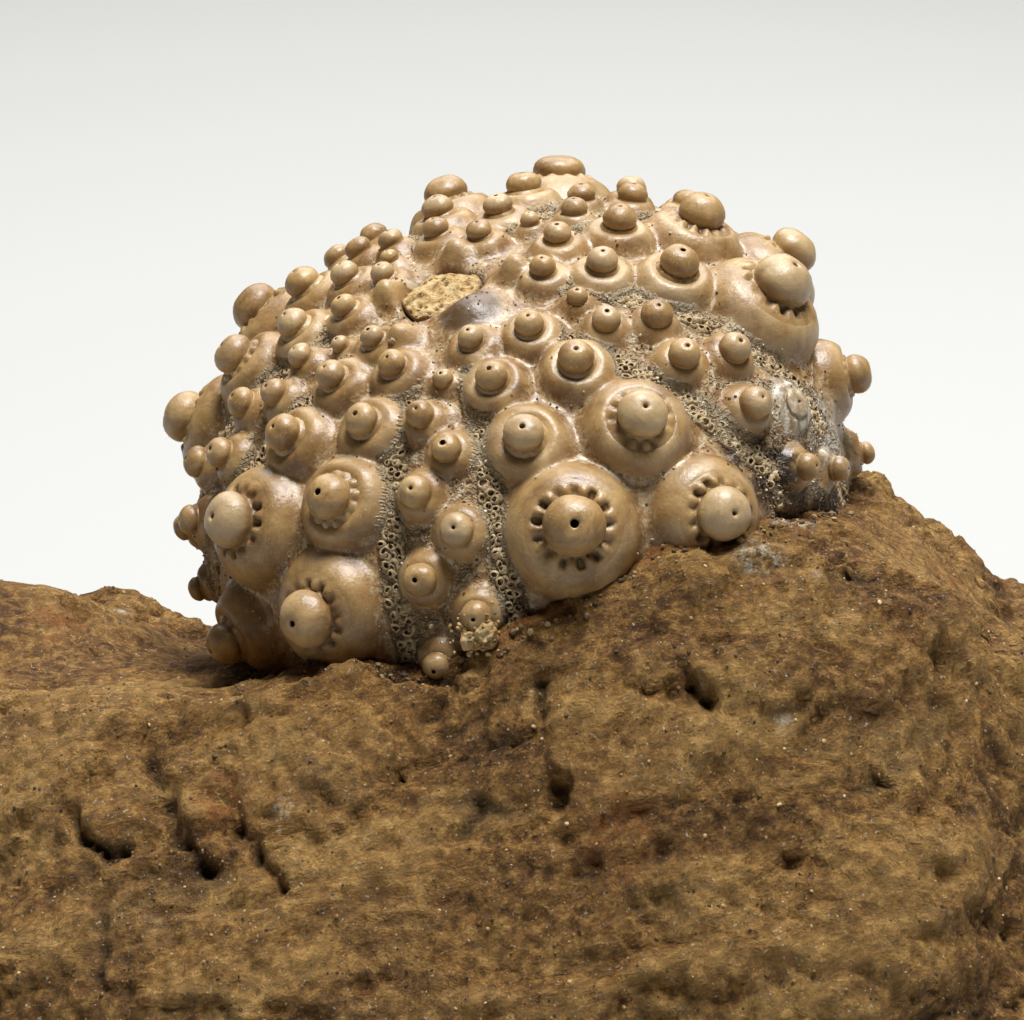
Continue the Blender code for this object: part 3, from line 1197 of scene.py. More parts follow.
@dataclass(frozen=True)
class StoneShape:
    """The stone as a set of rules: the outline of its block and the height of its top."""

    length: float = 0.088
    width: float = 0.068
    front_brim: float = 0.0165
    back_brim: float = 0.028
    side_brim: float = 0.0395
    corner_cut: float = 0.34
    foot_tuck: float = 0.06
    tuck_top: float = 0.3
    side_lean: float = 1.6
    crest: tuple = ((-0.044, 0.0195), (-0.03, 0.0193), (-0.018, 0.0195), (-0.013, 0.0217),
                    (-0.0046, 0.0252), (0.0, 0.0278), (0.0053, 0.0302), (0.0115, 0.0318),
                    (0.018, 0.0322), (0.0235, 0.031), (0.0275, 0.0293), (0.032, 0.0248),
                    (0.036, 0.0208), (0.044, 0.019))
    swells: tuple = (
        Swell(0.0038, x_out=(-0.034, -0.02), y_in=(0.0, 0.01)),
        Swell(-0.001, x_in=(-0.03, -0.022), x_out=(-0.02, -0.014), y_in=(0.0, 0.01)),
        Swell(0.002, x_in=(-0.032, -0.022), x_out=(-0.014, -0.004), y_out=(-0.014, -0.006)),
        Swell(0.0026, x_in=(0.0295, 0.0325), y_in=(0.0, 0.008)),
        Swell(0.0115, x_in=(-0.018, -0.006), x_out=(0.001, 0.013), y_in=(0.01, 0.024)),
    )
    back_fall: float = 0.3
    back_fall_start: float = 0.008
    lumps: tuple = ((0.021, 0.0016), (0.009, 0.0007))
    lump_start: float = 0.35

    def top(self, x: Array, y: Array) -> Array:
        """Return the height of the stone's top.

        Args:
            x: places along the stone.
            y: places across it.

        Returns:
            The heights.
        """
        height = np.interp(x, *zip(*self.crest)) + sum(swell.at(x, y) for swell in self.swells)
        return height - self.back_fall * np.maximum(0.0, y - self.back_fall_start)

    def moulded(self, unit: Array) -> Array:
        """Move points of the unit block to their places on the stone.

        Args:
            unit: N x 3 points, each axis -1 to 1.

        Returns:
            N x 3 places in metres.
        """
        rise = (unit[:, 2] + 1.0) / 2
        lean = rise ** self.side_lean
        tuck = 1.0 - self.foot_tuck * (1.0 - smooth_step(0.0, self.tuck_top, rise))
        across = unit[:, 0] * np.sqrt(1.0 - self.corner_cut * unit[:, 1] ** 4) * tuck
        along = unit[:, 1] * np.sqrt(1.0 - self.corner_cut * unit[:, 0] ** 4) * tuck
        x = across * (self.length / 2 + (self.side_brim - self.length / 2) * lean)
        brim = np.where(along > 0, self.back_brim, self.front_brim)
        y = along * (self.width / 2 + (brim - self.width / 2) * lean)
        return np.column_stack((x, y, self.top(x, y) * rise))


SPOT_CORE = 0.35


@dataclass(frozen=True)
class Spot:
    """A round patch on the part: its middle and its reach, in millimetres."""

    middle: tuple[float, float, float]
    reach: float

    def share(self, points: Array) -> Array:
        """Return 1 near the middle, fading to 0 at the reach."""
        away = np.linalg.norm(points - np.array(self.middle) * MM, axis=1)
        return smooth_step(self.reach * MM, self.reach * MM * SPOT_CORE, away)


@dataclass(frozen=True)
class Crack:
    """A crack along a line of places: its width and depth, all in millimetres."""

    line: tuple[tuple[float, float, float], ...]
    width: float
    depth: float

    def nearness(self, points: Array) -> Array:
        """Return 1 on the line, fading to 0 at the width.

        Args:
            points: N x 3 places in metres.

        Returns:
            One share per point.
        """
        nearest = np.full(len(points), 1.0)
        for start, end in zip(self.line, self.line[1:]):
            first, last = np.array(start) * MM, np.array(end) * MM
            along = last - first
            share = np.clip((points - first) @ along / (along @ along), 0.0, 1.0)
            away = np.linalg.norm(points - first - share[:, None] * along, axis=1)
            nearest = np.minimum(nearest, away)
        return smooth_step(self.width * MM, 0.0, nearest)


def spots_share(spots: tuple[Spot, ...], points: Array) -> Array:
    """Return the strongest share of several spots at each point."""
    return np.max([spot.share(points) for spot in spots], axis=0)


# ---- the test -----------------------------------------------------------
HEAD_SEED, PORE_SEED, RIM_SEED = 5, 11, 12
# Profiles, from the middle outwards: distance and height in mamelon radii, or in rim radii.
LARGE_HEAD = (
    (0.1, 1.45), (0.11, 1.8), (0.14, 1.87), (0.22, 1.885), (0.42, 1.85), (0.62, 1.76), (0.8, 1.61),
    (0.94, 1.42), (1.02, 1.22), (1.03, 1.07), (1.01, 0.94), (0.97, 0.85), (0.96, 0.79), (1.0, 0.76),
    (1.09, 0.77), (1.2, 0.78), (1.32, 0.75), (1.42, 0.705), (1.5, 0.662), (1.6, 0.605), (1.7, 0.525),
    (1.8, 0.4),
)
SMALL_HEAD = (
    (0.11, 1.3), (0.12, 1.58), (0.16, 1.63), (0.4, 1.6), (0.62, 1.5), (0.8, 1.35), (0.93, 1.17),
    (1.01, 0.99), (1.02, 0.86), (1.0, 0.74), (0.97, 0.65), (1.0, 0.56), (1.07, 0.4),
)
PORE_RIM = ((0.36, -1.1), (0.36, -0.2), (0.43, 0.0), (0.56, -0.06), (0.74, -0.3), (0.95, -1.1))
HOLE_RADIUS = 0.13
HOLE_TOP = 1.83
NECK_REACH = 1.005


@dataclass
class UrchinTest:
    """The urchin's shell: body with bosses, mamelons, pore rims and grains."""

    shape: TestShape
    stone: StoneShape
    cuts: int = 143
    buried: float = 0.003
    seen_below: float = 0.3 * MM
    boss_soft: float = 0.0006
    valley_sink: float = 0.00035
    press_start: float = 0.0512
    press_share: float = 0.35
    smoothings: int = 3
    nearby: float = 0.0068
    rise_rounds: int = 3
    least_facing: float = 0.35
    suture_foot: float = 0.85
    suture_width: float = 0.00021
    suture_lift: float = 0.00006
    skin_layers: tuple = ((2.2, 0.1, 3.1), (0.8, 0.035, 9.1))
    crumble_layers: tuple = ((1.0, 0.55, 0.0), (0.5, 0.45, 7.3))
    crumble_rise: float = 0.2
    black_rise: float = 0.35
    band_sink: float = 0.2
    band_start: tuple = (0.3, 0.36)
    patch_size: float = 1.8 * MM
    patch_seed: float = 5.5
    ragged_size: float = 0.8 * MM
    mother_edge: tuple = (1.8, 1.4)
    knobs: int = 13
    knob_faces: int = 5
    small_faces: int = 40
    knob_rise: float = 0.1
    notch_sink: float = 0.3
    skirt_dive: float = 0.55
    crisp_sizes: tuple = (0.00105, 0.0017)
    cap_size: float = 1.1 * MM
    cap_rise: float = 0.07 * MM
    rim_sink: float = 0.0004
    rim_faces: int = 8
    rim_height: float = 0.4 * MM
    rim_sizes: tuple = (0.34, 0.54)
    rim_uneven: tuple = (0.8, 1.2)
    rim_tip: float = 0.16
    rim_tuck: float = 0.08 * MM
    rim_jostle: tuple = (0.42, 0.11)
    gonopore: tuple = (0.95, 0.8, 0.3)
    pore_start: float = 0.36
    pore_steps: int = 60
    pore_step: float = 0.5
    pore_rows: tuple = (-1, 0, 1)
    row_gap: float = 0.44
    row_stray: float = 0.12
    step_shift: float = 0.25
    step_stray: float = 0.15
    pore_share: float = 0.93
    boss_margin: float = 0.93
    sugar: Strewing = Strewing("crust_grains", 21, 5200, 0.055, 0.075, 2, 0.02, 0.0, 0.28)
    grey_spots: tuple = (Spot((18.3, -7.1, 39.6), 3.4), Spot((20.6, -4.2, 37.0), 3.6),
                         Spot((21.8, -2.4, 33.8), 3.0))
    black_spots: tuple = (Spot((16.4, -10.6, 36.0), 3.4), Spot((14.2, -12.0, 37.2), 1.8))
    # heights above the stone where the grime and the painted contact shade begin and become full, in metres
    dirt_rise: tuple = (0.0042, 0.0006)
    tubercles: list[Tubercle] = field(default_factory=list)

    def build(self) -> None:
        """Build and dress every piece of the test."""
        self.tubercles = self.shape.tubercles(self.stone)
        calcite = CalciteFinish().material("fossil calcite")
        body = show(self.body_mesh(), "urchin_body", calcite)
        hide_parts("urchin_test")
        for kind, name in ((Field.BROAD, "large_tubercle_heads"), (Field.NARROW, "small_tubercle_heads")):
            show(self.heads_mesh(kind, name), name, calcite)
        show(self.rims_mesh(), "pore_rims", PoreFinish().material("pore net"))
        sugar = GrainFinish(tint(96, 72, 46), tint(158, 132, 94), tint(222, 212, 188))
        show(self.grains_mesh(body.data), "crust_grains", sugar.material("sugary grains"))

    def base_mesh(self) -> bpy.types.Mesh:
        """Make the smooth body in its place: a cube blown up to the test's form."""
        shape = bmesh.new()
        bmesh.ops.create_cube(shape, size=2.0)
        bmesh.ops.subdivide_edges(shape, edges=shape.edges[:], cuts=self.cuts, use_grid_fill=True)
        mesh = finished_mesh(shape, "urchin_body")
        unit = np.tan(points_of(mesh) * (math.pi / 4))
        unit /= np.linalg.norm(unit, axis=1)[:, None]
        angle = np.arccos(np.clip(unit[:, 2], -1.0, 1.0))
        azimuth = np.arctan2(unit[:, 1], unit[:, 0])
        across, up = self.shape.meridian(angle)
        local = np.column_stack((across * np.cos(azimuth), across * np.sin(azimuth), up)) * self.shape.radius
        put_points(mesh, local)
        mesh.transform(self.shape.world())
        mesh.update()
        return mesh

    def lifts(self, points: Array, normals: Array) -> dict[str, Array]:
        """Work out how far the bosses lift the body's surface.

        Args:
            points: N x 3 places on the smooth body.
            normals: outward normals there.

        Returns:
            Lift in metres, nearness to a suture and how much the place is on a smooth plate.
        """
        count = len(points)
        lift = np.full(count, -1.0)
        plate = np.zeros(count)
        first = np.full(count, 1.0)
        second = np.full(count, 1.0)
        for knob in self.tubercles:
            offset = points - knob.centre
            near = np.nonzero(np.einsum("ij,ij->i", offset, offset) < self.nearby ** 2)[0]
            away = offset[near]
            facing = normals[near] @ knob.axis
            stations, heights = zip(*knob.boss.profile)
            rise = np.zeros(len(near))
            for _ in range(self.rise_rounds):
                moved = away + normals[near] * rise[:, None]
                up = moved @ knob.axis
                flat = np.sqrt(np.maximum(np.einsum("ij,ij->i", moved, moved) - up * up, 0.0)) / knob.radius
                wanted = np.interp(flat, stations, heights) * knob.radius * knob.tall
                rise += (wanted - up) / np.maximum(facing, self.least_facing)
            rise = np.where(facing > 0.2, rise, -1.0)
            lift[near] = np.maximum(lift[near], rise)
            plate[near] = np.maximum(plate[near], smooth_step(*knob.boss.plate, flat))
            edge = np.linalg.norm(away, axis=1) - self.suture_foot * knob.boss.foot * knob.radius
            second[near] = np.minimum(second[near], np.maximum(first[near], edge))
            first[near] = np.minimum(first[near], edge)
        suture = np.exp(-((second - first) / (2 * self.suture_width)) ** 2)
        return {"lift": lift, "suture": suture, "boss": plate}

    def band_nearness(self, local: Array) -> Array:
        """Tell how far each point of the body is inside a pore band.

        Args:
            local: N x 3 places in the test's own axes.

        Returns:
            1 in the middle of a pore band, 0 outside.
        """
        azimuth = np.arctan2(local[:, 1], local[:, 0])
        across = np.hypot(local[:, 0], local[:, 1]) / self.shape.radius
        width = np.clip(across, 0.0, 1.0)
        lower = math.pi - np.arcsin(width ** (1 / self.shape.fullness))
        angle = np.where(local[:, 2] > 0, np.arcsin(width), lower)
        angles, arcs = self.shape.arc_table()
        arc = np.interp(angle, angles, arcs)
        pair = 2.0 * self.shape.ray_step()
        turn = np.abs((azimuth - self.shape.ray_step() + pair / 2) % pair - pair / 2)
        off = np.abs(turn * across * self.shape.radius - self.shape.pore_offset(arc))
        return smooth_step(1.5, 0.7, off / self.shape.pore_half_width) * smooth_step(*self.band_start, arc)

    def body_mesh(self) -> bpy.types.Mesh:
        """Make the body: bosses, sunken pore bands, crust and the pocket for the plug.

        Returns:
            The mesh.
        """
        mesh = self.base_mesh()
        self.cut_away(mesh)
        points = points_of(mesh)
        normals = normals_of(mesh)
        local = self.shape.local(points)
        found = self.lifts(points, normals)
        band = self.band_nearness(local)
        black = spots_share(self.black_spots, points)
        free = smooth_step(0.3, -0.1, found["lift"] / MM)
        crumble = noise_sum(points, self.crumble_layers)
        rough = crumble * (self.crumble_rise + self.black_rise * black) - self.band_sink * band
        floor = rough * free * MM - self.shape.valley - self.valley_sink
        lift = smooth_max(found["lift"], floor, self.boss_soft)
        lift += self.skin(points + normals * lift[:, None])
        found["boss"] *= 1.0 - 0.95 * band * free
        found["suture"] *= 1.0 - band
        lift += found["suture"] * free * self.suture_lift
        moved = points + normals * lift[:, None]
        moved -= self.opening_sink(local)
        put_points(mesh, self.under_top(moved))
        self.mark_body(mesh, moved, found, band, free)
        return self.smoothed(mesh)

    def under_top(self, points: Array) -> Array:
        """Press together what would rise above the part's height.

        Args:
            points: N x 3 places.

        Returns:
            The places, their upper end lowered.
        """
        above = np.maximum(points[:, 2] - self.press_start, 0.0)
        return points - np.column_stack((np.zeros((len(points), 2)), above * self.press_share))

    def smoothed(self, mesh: bpy.types.Mesh) -> bpy.types.Mesh:
        """Even out the steps that steep boss feet leave.

        Args:
            mesh: the body.

        Returns:
            The mesh.
        """
        with opened(mesh) as shape:
            for _ in range(self.smoothings):
                bmesh.ops.smooth_vert(shape, verts=shape.verts[:], factor=0.5, use_axis_x=True,
                                      use_axis_y=True, use_axis_z=True)
        return mesh

    def skin(self, points: Array) -> Array:
        """Return the slow waviness that body and heads share, in metres."""
        return noise_sum(points, self.skin_layers) * MM

    def mark_body(self, mesh: bpy.types.Mesh, points: Array, found: dict[str, Array], band: Array,
                  free: Array) -> None:
        """Keep what the finish needs to know of each vertex.

        Args:
            mesh: the body.
            points: its vertices.
            found: what lifts() gave.
            band: nearness to a pore band.
            free: 1 where no boss covers the crust.
        """
        low = points[:, 2] - self.stone.top(points[:, 0], points[:, 1])
        patchy = smooth_step(-0.25, 0.3, noise_at(points, self.patch_size, self.patch_seed))
        ragged = smooth_step(-0.5, 0.1, noise_at(points, self.ragged_size, 1.5))
        black = spots_share(self.black_spots, points) * ragged
        # darker towards the stone: partly grime, partly painted contact shade
        dirt = smooth_step(self.dirt_rise[0], self.dirt_rise[1], low) * (0.35 + 0.65 * patchy)
        dirt = np.maximum(dirt * (1.0 - 0.85 * found["boss"]), black)
        side = smooth_step(-0.016, 0.012, points[:, 0])
        chalk = np.maximum(band * (0.35 + 0.65 * patchy), 0.5 * patchy * side) * (0.45 + 0.55 * side)
        plate = next(knob for knob in self.tubercles if knob.field is Field.PLATE and knob.tall < 1.0)
        away = np.linalg.norm(points - plate.centre, axis=1) / plate.radius
        mother = smooth_step(*self.mother_edge, away)
        grey = np.maximum(spots_share(self.grey_spots, points) * 0.85, mother * 0.3)
        pore = np.maximum(band * free * 0.3, mother * 0.8)
        # valley: mask of painted shade, high in the hollows between bosses, and also set on the mother plate
        low = 0.45 * smooth_step(1.1, 0.1, found["lift"] / MM) + 0.55 * free
        put_values(mesh, boss=found["boss"], suture=found["suture"], chalk=chalk,
                   dirt=np.clip(dirt, 0.0, 1.0), grey=grey, pore=pore,
                   valley=np.maximum(low * (1.0 - band), mother), crevice=0.0)

    def opening_sink(self, local: Array) -> Array:
        """Return how far the body is pressed down where the plug of sediment sits.

        Args:
            local: N x 3 places in the test's own axes.

        Returns:
            N x 3 moves, to be taken off.
        """
        middle = self.shape.opening_offset * np.array([math.cos(self.shape.opening_turn),
                                                       math.sin(self.shape.opening_turn)])
        across, along = local[:, 0] - middle[0], local[:, 1] - middle[1]
        rim = self.shape.opening_radius * self.shape.rim_radius(np.arctan2(along, across))
        share = smooth_step(0.1, -0.25, (np.hypot(across, along) - rim) / MM)
        share = np.where(local[:, 2] > 0, share, 0.0)
        pole = np.array(self.shape.world().col[2][:3])
        return (share * self.shape.opening_depth)[:, None] * pole

    def cut_away(self, mesh: bpy.types.Mesh) -> None:
        """Take off the underside that lies deep in the stone, and close the body there.

        Args:
            mesh: the smooth body.
        """
        with opened(mesh) as shape:
            low = [face for face in shape.faces if self.is_buried(face.calc_center_median())]
            bmesh.ops.delete(shape, geom=low, context="FACES")
            rim = [edge for edge in shape.edges if edge.is_boundary]
            bmesh.ops.holes_fill(shape, edges=rim, sides=0)
            bmesh.ops.triangulate(shape, faces=[face for face in shape.faces if len(face.verts) > 4])
            for face in shape.faces:
                face.smooth = True

    def is_buried(self, place: Vector) -> bool:
        """Tell whether a place lies deep under the stone's top."""
        return place.z < float(self.stone.top(place.x, place.y)) - self.buried

    def broad_head(self) -> bpy.types.Mesh:
        """Make the head of a large tubercle, in mamelon radii: knobbed ring, neck and mamelon.

        Returns:
            The template mesh, standing on Z.
        """
        shape = self.turned(LARGE_HEAD, self.knobs * self.knob_faces)
        wave = shape.verts.layers.float.new("wave")
        for vert in shape.verts:
            out = math.hypot(vert.co.x, vert.co.y)
            inner = float(smooth_step(0.97, 1.1, out)) * float(smooth_step(1.46, 1.2, out))
            turn = math.cos(math.atan2(vert.co.y, vert.co.x) * self.knobs)
            low = vert.co.z < 0.9
            knob, notch = self.knob_rise * max(turn, 0.0), self.notch_sink * max(-turn - 0.25, 0.0)
            vert[wave] = low * inner * (knob - notch)
        self.mark_crevices(shape, 0.74, 0.84)
        return finished_mesh(shape, "large head")

    def narrow_head(self) -> bpy.types.Mesh:
        """Make the head of a small tubercle, in mamelon radii.

        Returns:
            The template mesh, standing on Z.
        """
        shape = self.turned(SMALL_HEAD, self.small_faces)
        shape.verts.layers.float.new("wave")
        self.mark_crevices(shape, 0.6, 0.7)
        return finished_mesh(shape, "small head")

    def mark_crevices(self, shape: bmesh.types.BMesh, low: float, high: float) -> None:
        """Paint shade into the neck, the hole and the ring's notches of a head, and ready the values its
        copies use.

        Args:
            shape: the head.
            low: lowest height of the neck.
            high: highest.
        """
        dark = shape.verts.layers.float.new("crevice")
        shape.verts.layers.float.new("chalk")
        shape.verts.layers.float.new("cap")
        wave = shape.verts.layers.float["wave"]
        for vert in shape.verts:
            away = math.hypot(vert.co.x, vert.co.y)
            neck = low < vert.co.z < high and away < NECK_REACH
            hole = away < HOLE_RADIUS and vert.co.z < HOLE_TOP
            vert[dark] = 0.95 if hole else (0.3 if neck else min(0.6, max(0.0, -5.0 * vert[wave])))

    def turned(self, profile: tuple, steps: int) -> bmesh.types.BMesh:
        """Turn a profile round Z into a solid with a closed top and foot.

        Args:
            profile: pairs of distance and height, from the middle outwards.
            steps: faces round.

        Returns:
            The bmesh.
        """
        return spun([(0.0, profile[0][1]), *profile, (0.0, profile[-1][1])], steps)

    def heads_mesh(self, kind: Field, name: str) -> bpy.types.Mesh:
        """Stand a head on every tubercle of one kind.

        Args:
            kind: the kind of tubercle.
            name: name of the mesh.

        Returns:
            The mesh.
        """
        pattern = self.broad_head() if kind is Field.BROAD else self.narrow_head()
        shape = bmesh.new()
        dice = random.Random(HEAD_SEED)
        for knob in self.tubercles:
            if knob.field is not kind:
                continue
            start = len(shape.verts)
            shape.from_mesh(pattern)
            shape.verts.ensure_lookup_table()
            fresh = shape.verts[start:]
            self.weather_head(shape, fresh, float(smooth_step(*self.crisp_sizes, knob.radius)), dice)
            size = Matrix.Diagonal((knob.radius, knob.radius, knob.radius * knob.tall, 1.0))
            turn = Matrix.Rotation(dice.uniform(0.0, math.tau), 4, "Z")
            bmesh.ops.transform(shape, matrix=knob.place @ size @ turn, verts=fresh)
        mesh = finished_mesh(shape, name)
        points = points_of(mesh)
        cap = noise_at(points, self.cap_size, 4.0) * values_of(mesh, "cap") * self.cap_rise
        wave = self.skin(points) + cap
        put_points(mesh, self.under_top(points + normals_of(mesh) * wave[:, None]))
        for spent in ("wave", "cap"):
            mesh.attributes.remove(mesh.attributes[spent])
        put_values(mesh, boss=1.0, suture=0.0, valley=0.0, grey=spots_share(self.grey_spots, points) * 0.5,
                   dirt=spots_share(self.black_spots, points) * 0.3)
        return mesh

    def weather_head(self, shape: bmesh.types.BMesh, fresh: list, full: float, dice: random.Random) -> None:
        """Give one head its own knobs, wear and hole.

        Args:
            shape: the bmesh that gathers the heads.
            fresh: the head's vertices.
            full: 1 for a head large enough to have a whole ring, 0 for one with none.
            dice: the source of chance.
        """
        layers = shape.verts.layers.float
        wave, dark, chalk, cap = (layers[name] for name in ("wave", "crevice", "chalk", "cap"))
        crisp = full * dice.uniform(0.5, 1.1)
        hole, worn = dice.uniform(0.25, 1.3), dice.uniform(-0.5, 0.9)
        phase = dice.uniform(0.0, math.tau)
        for vert in fresh:
            uneven = 1.0 + 0.55 * math.sin(3.0 * math.atan2(vert.co.y, vert.co.x) + phase)
            skirt = float(smooth_step(1.0, 1.35, math.hypot(vert.co.x, vert.co.y)))
            vert.co.z += vert[wave] * crisp * uneven - (1.0 - full) * skirt * self.skirt_dive
            # the painted shade in the ring's notches and in the hole varies from head to head
            if vert[wave] < 0.0:
                vert[dark] *= crisp * uneven
            elif vert.co.x ** 2 + vert.co.y ** 2 < HOLE_RADIUS ** 2:
                vert[dark] = min(1.0, vert[dark] * hole)
            vert[cap] = float(smooth_step(0.85, 1.1, vert.co.z))
            vert[chalk] = worn * float(smooth_step(0.9, 1.5, vert.co.z))

    def rim_pattern(self) -> bpy.types.Mesh:
        """Make one pore rim, one unit across and standing on Z.

        Returns:
            The template mesh.
        """
        shape = spun([*PORE_RIM, PORE_RIM[0]], self.rim_faces)
        dark = shape.verts.layers.float.new("crevice")
        for vert in shape.verts:
            inside = math.hypot(vert.co.x, vert.co.y) < PORE_RIM[0][0]
            # painted shade inside the pore, darkest at its bottom
            vert[dark] = (1.0 if vert.co.z < -0.5 else 0.7) if inside else 0.0
        return finished_mesh(shape, "pore rim")

    def pore_places(self) -> list[tuple[Matrix, float]]:
        """Place the pores in uneven rows down every pore band.

        Returns:
            A matrix and a size for each pore that no boss and no stone covers.
        """
        dice = random.Random(PORE_SEED)
        centres = np.array([knob.centre for knob in self.tubercles])
        reaches = np.array([knob.radius * knob.boss.foot for knob in self.tubercles]) * self.boss_margin
        angles, arcs = self.shape.arc_table()
        unit = MM / self.shape.radius
        out, up, wide = self.gonopore
        places = []
        for knob in self.tubercles:
            if knob.field is Field.PLATE:
                hole = Matrix.Translation((out * knob.radius, 0.0, up * knob.radius * knob.tall))
                lifted = Matrix.Translation((0.0, 0.0, self.rim_sink))
                places.append((knob.place @ hole @ lifted, wide * MM))
        bands = [(ray, side) for ray in range(1, self.shape.rays, 2) for side in (-1, 1)]
        for (ray, side), step in product(bands, range(self.pore_steps)):
            arc = self.pore_start + step * self.pore_step * unit
            across, _ = self.shape.meridian(np.interp(arc, arcs, angles))
            offset = float(self.shape.pore_offset(arc))
            for row in self.pore_rows:
                lateral = offset + (row * self.row_gap + dice.gauss(0.0, self.row_stray)) * MM
                along = arc + (self.step_shift * (row == 0) + dice.gauss(0.0, self.step_stray)) * unit
                azimuth = ray * self.shape.ray_step() + side * lateral / (float(across) * self.shape.radius)
                place = self.shape.world() @ self.shape.frame_at(along, azimuth)
                away = np.linalg.norm(centres - np.array(place.translation), axis=1) - reaches
                size = dice.uniform(*self.rim_sizes) * MM
                bare = away.min() > 0 and not self.is_buried(place.translation)
                if bare and dice.random() < self.pore_share:
                    places.append((place, size))
        return places

    def rims_mesh(self) -> bpy.types.Mesh:
        """Set a rim round every pore.

        Returns:
            The mesh.
        """
        pattern = self.rim_pattern()
        shape = bmesh.new()
        dice = random.Random(RIM_SEED)
        for place, size in self.pore_places():
            start = len(shape.verts)
            shape.from_mesh(pattern)
            shape.verts.ensure_lookup_table()
            wide, long = size * dice.uniform(*self.rim_uneven), size * dice.uniform(*self.rim_uneven)
            scale = Matrix.Diagonal((wide, long, self.rim_height, 1.0))
            turn = Matrix.Rotation(dice.uniform(0.0, math.tau), 4, "Z")
            tip = Euler((dice.gauss(0.0, self.rim_tip), dice.gauss(0.0, self.rim_tip), 0.0))
            sink = dice.uniform(-self.rim_tuck, self.rim_tuck) - self.rim_sink
            down = Matrix.Translation((0.0, 0.0, sink)) @ tip.to_matrix().to_4x4()
            bmesh.ops.transform(shape, matrix=place @ down @ turn @ scale, verts=shape.verts[start:])
        mesh = finished_mesh(shape, "pore_rims")
        points = points_of(mesh)
        put_points(mesh, jostled(points, *self.rim_jostle, 1.0))
        patchy = smooth_step(-0.3, 0.25, noise_at(points, self.patch_size, self.patch_seed))
        side = smooth_step(-0.018, 0.006, points[:, 0])
        put_values(mesh, chalk=(0.25 + 0.75 * patchy) * (0.3 + 0.7 * side))
        return mesh

    def grains_mesh(self, body: bpy.types.Mesh) -> bpy.types.Mesh:
        """Sprinkle small crystals over the crust between the bosses.

        Args:
            body: the finished body.

        Returns:
            The mesh.
        """
        points = points_of(body)
        boss, chalk, dirt = (values_of(body, name) for name in ("boss", "chalk", "dirt"))
        seen = points[:, 2] > self.stone.top(points[:, 0], points[:, 1]) - self.seen_below
        edge = np.clip(1.0 - boss * 1.02, 0.0, 1.0) + 0.3 * values_of(body, "suture")
        weight = (edge + 0.3 * values_of(body, "valley")) * seen * (0.5 + chalk + dirt)
        # grains near the stone are darker with the painted contact shade
        shades = 0.2 + 0.5 * chalk - 0.15 * dirt
        return Grains(self.sugar.name, self.sugar.seed).strew(body, weight, shades, self.sugar)


# ---- the plug -----------------------------------------------------------
@dataclass
class SedimentFill:
    """The plug of sediment in the opening at the top of the test."""

    shape: TestShape
    edge_gap: float = 0.00003
    edge_power: float = 0.8
    cushion: float = 0.00055
    cushion_power: float = 0.4
    sink: float = 0.00072
    rough_layers: tuple = ((1.0, 0.2, 0.0), (0.4, 0.12, 5.0))
    pit_size: float = 0.00062
    pit_depth: float = 0.2

    def build(self) -> None:
        """Build and dress the plug."""
        mesh = self.plug_mesh()
        plug = show(mesh, "sediment_fill", SedimentFinish().material("crumbly sediment"))
        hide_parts("sediment_plug")

    def plug_mesh(self) -> bpy.types.Mesh:
        """Make the plug: a pitted cushion that fills the opening.

        Returns:
            The mesh.
        """
        shape = bmesh.new()
        bmesh.ops.create_icosphere(shape, subdivisions=6, radius=1.0)
        mesh = finished_mesh(shape, "sediment_fill")
        unit = points_of(mesh)
        lobe = self.shape.rim_radius(np.arctan2(unit[:, 1], unit[:, 0]))
        out = np.hypot(unit[:, 0], unit[:, 1])
        flat = np.where(out > 0, np.minimum(out, 1.0) ** self.edge_power / np.maximum(out, 1e-9), 0.0)
        radius = (self.shape.opening_radius - self.edge_gap) * lobe * flat
        up = np.sign(unit[:, 2]) * np.abs(unit[:, 2]) ** self.cushion_power * self.cushion
        local = np.column_stack((unit[:, 0] * radius, unit[:, 1] * radius, up))
        rough = noise_sum(local, self.rough_layers)
        pit = smooth_step(0.36, 0.12, nearest_cell(local, self.pit_size)) * self.pit_depth
        above = smooth_step(-0.2, 0.3, unit[:, 2])
        local[:, 2] += (rough - pit) * above * MM
        put_points(mesh, local)
        # crevice: painted shade in the pits and in the gap round the plug's edge
        put_values(mesh, crevice=np.clip(pit * 3.5 + smooth_step(0.86, 1.0, out) * 0.6, 0.0, 1.0))
        mesh.transform(self.shape.opening_place() @ Matrix.Translation((0.0, 0.0, -self.sink)))
        return mesh


# ---- the stone ----------------------------------------------------------
CRACKS = (
    Crack(((-22.5, -19.5, 19.7), (-21.8, -21.3, 18.4), (-20.8, -23.1, 16.8), (-19.2, -25.2, 15.4)),
          1.0, 1.2),
    Crack(((-17.9, -21.2, 18.7), (-17.1, -23.2, 17.5), (-15.9, -25.2, 16.0), (-13.7, -27.2, 14.5)),
          1.0, 1.0),
    Crack(((-27.8, -20.8, 17.0), (-26.7, -22.9, 16.1), (-25.1, -24.1, 15.6), (-23.6, -23.9, 16.1)),
          0.9, 1.1),
    Crack(((7.0, -22.4, 25.2), (10.9, -22.9, 25.4)), 0.7, 0.8),
    Crack(((10.6, -22.8, 25.6), (12.3, -23.4, 24.7)), 1.5, 1.5),
)
PITS = (
    Spot((16.9, -28.8, 16.8), 1.2), Spot((-5.2, -19.8, 22.9), 1.3), Spot((2.7, -25.5, 19.9), 1.2),
    Spot((26.7, -19.3, 26.7), 1.1), Spot((19.0, -22.0, 28.2), 1.2), Spot((-9.0, -24.5, 18.5), 1.0),
)
BRIM = Crack(((-44.0, -11.5, 18.6), (-33.1, -11.3, 19.1), (-28.8, -13.8, 20.2), (-24.6, -16.7, 21.2),
              (-22.6, -15.4, 22.2), (-16.4, -17.6, 22.9), (-10.2, -16.9, 24.8)), 1.7, -0.8)
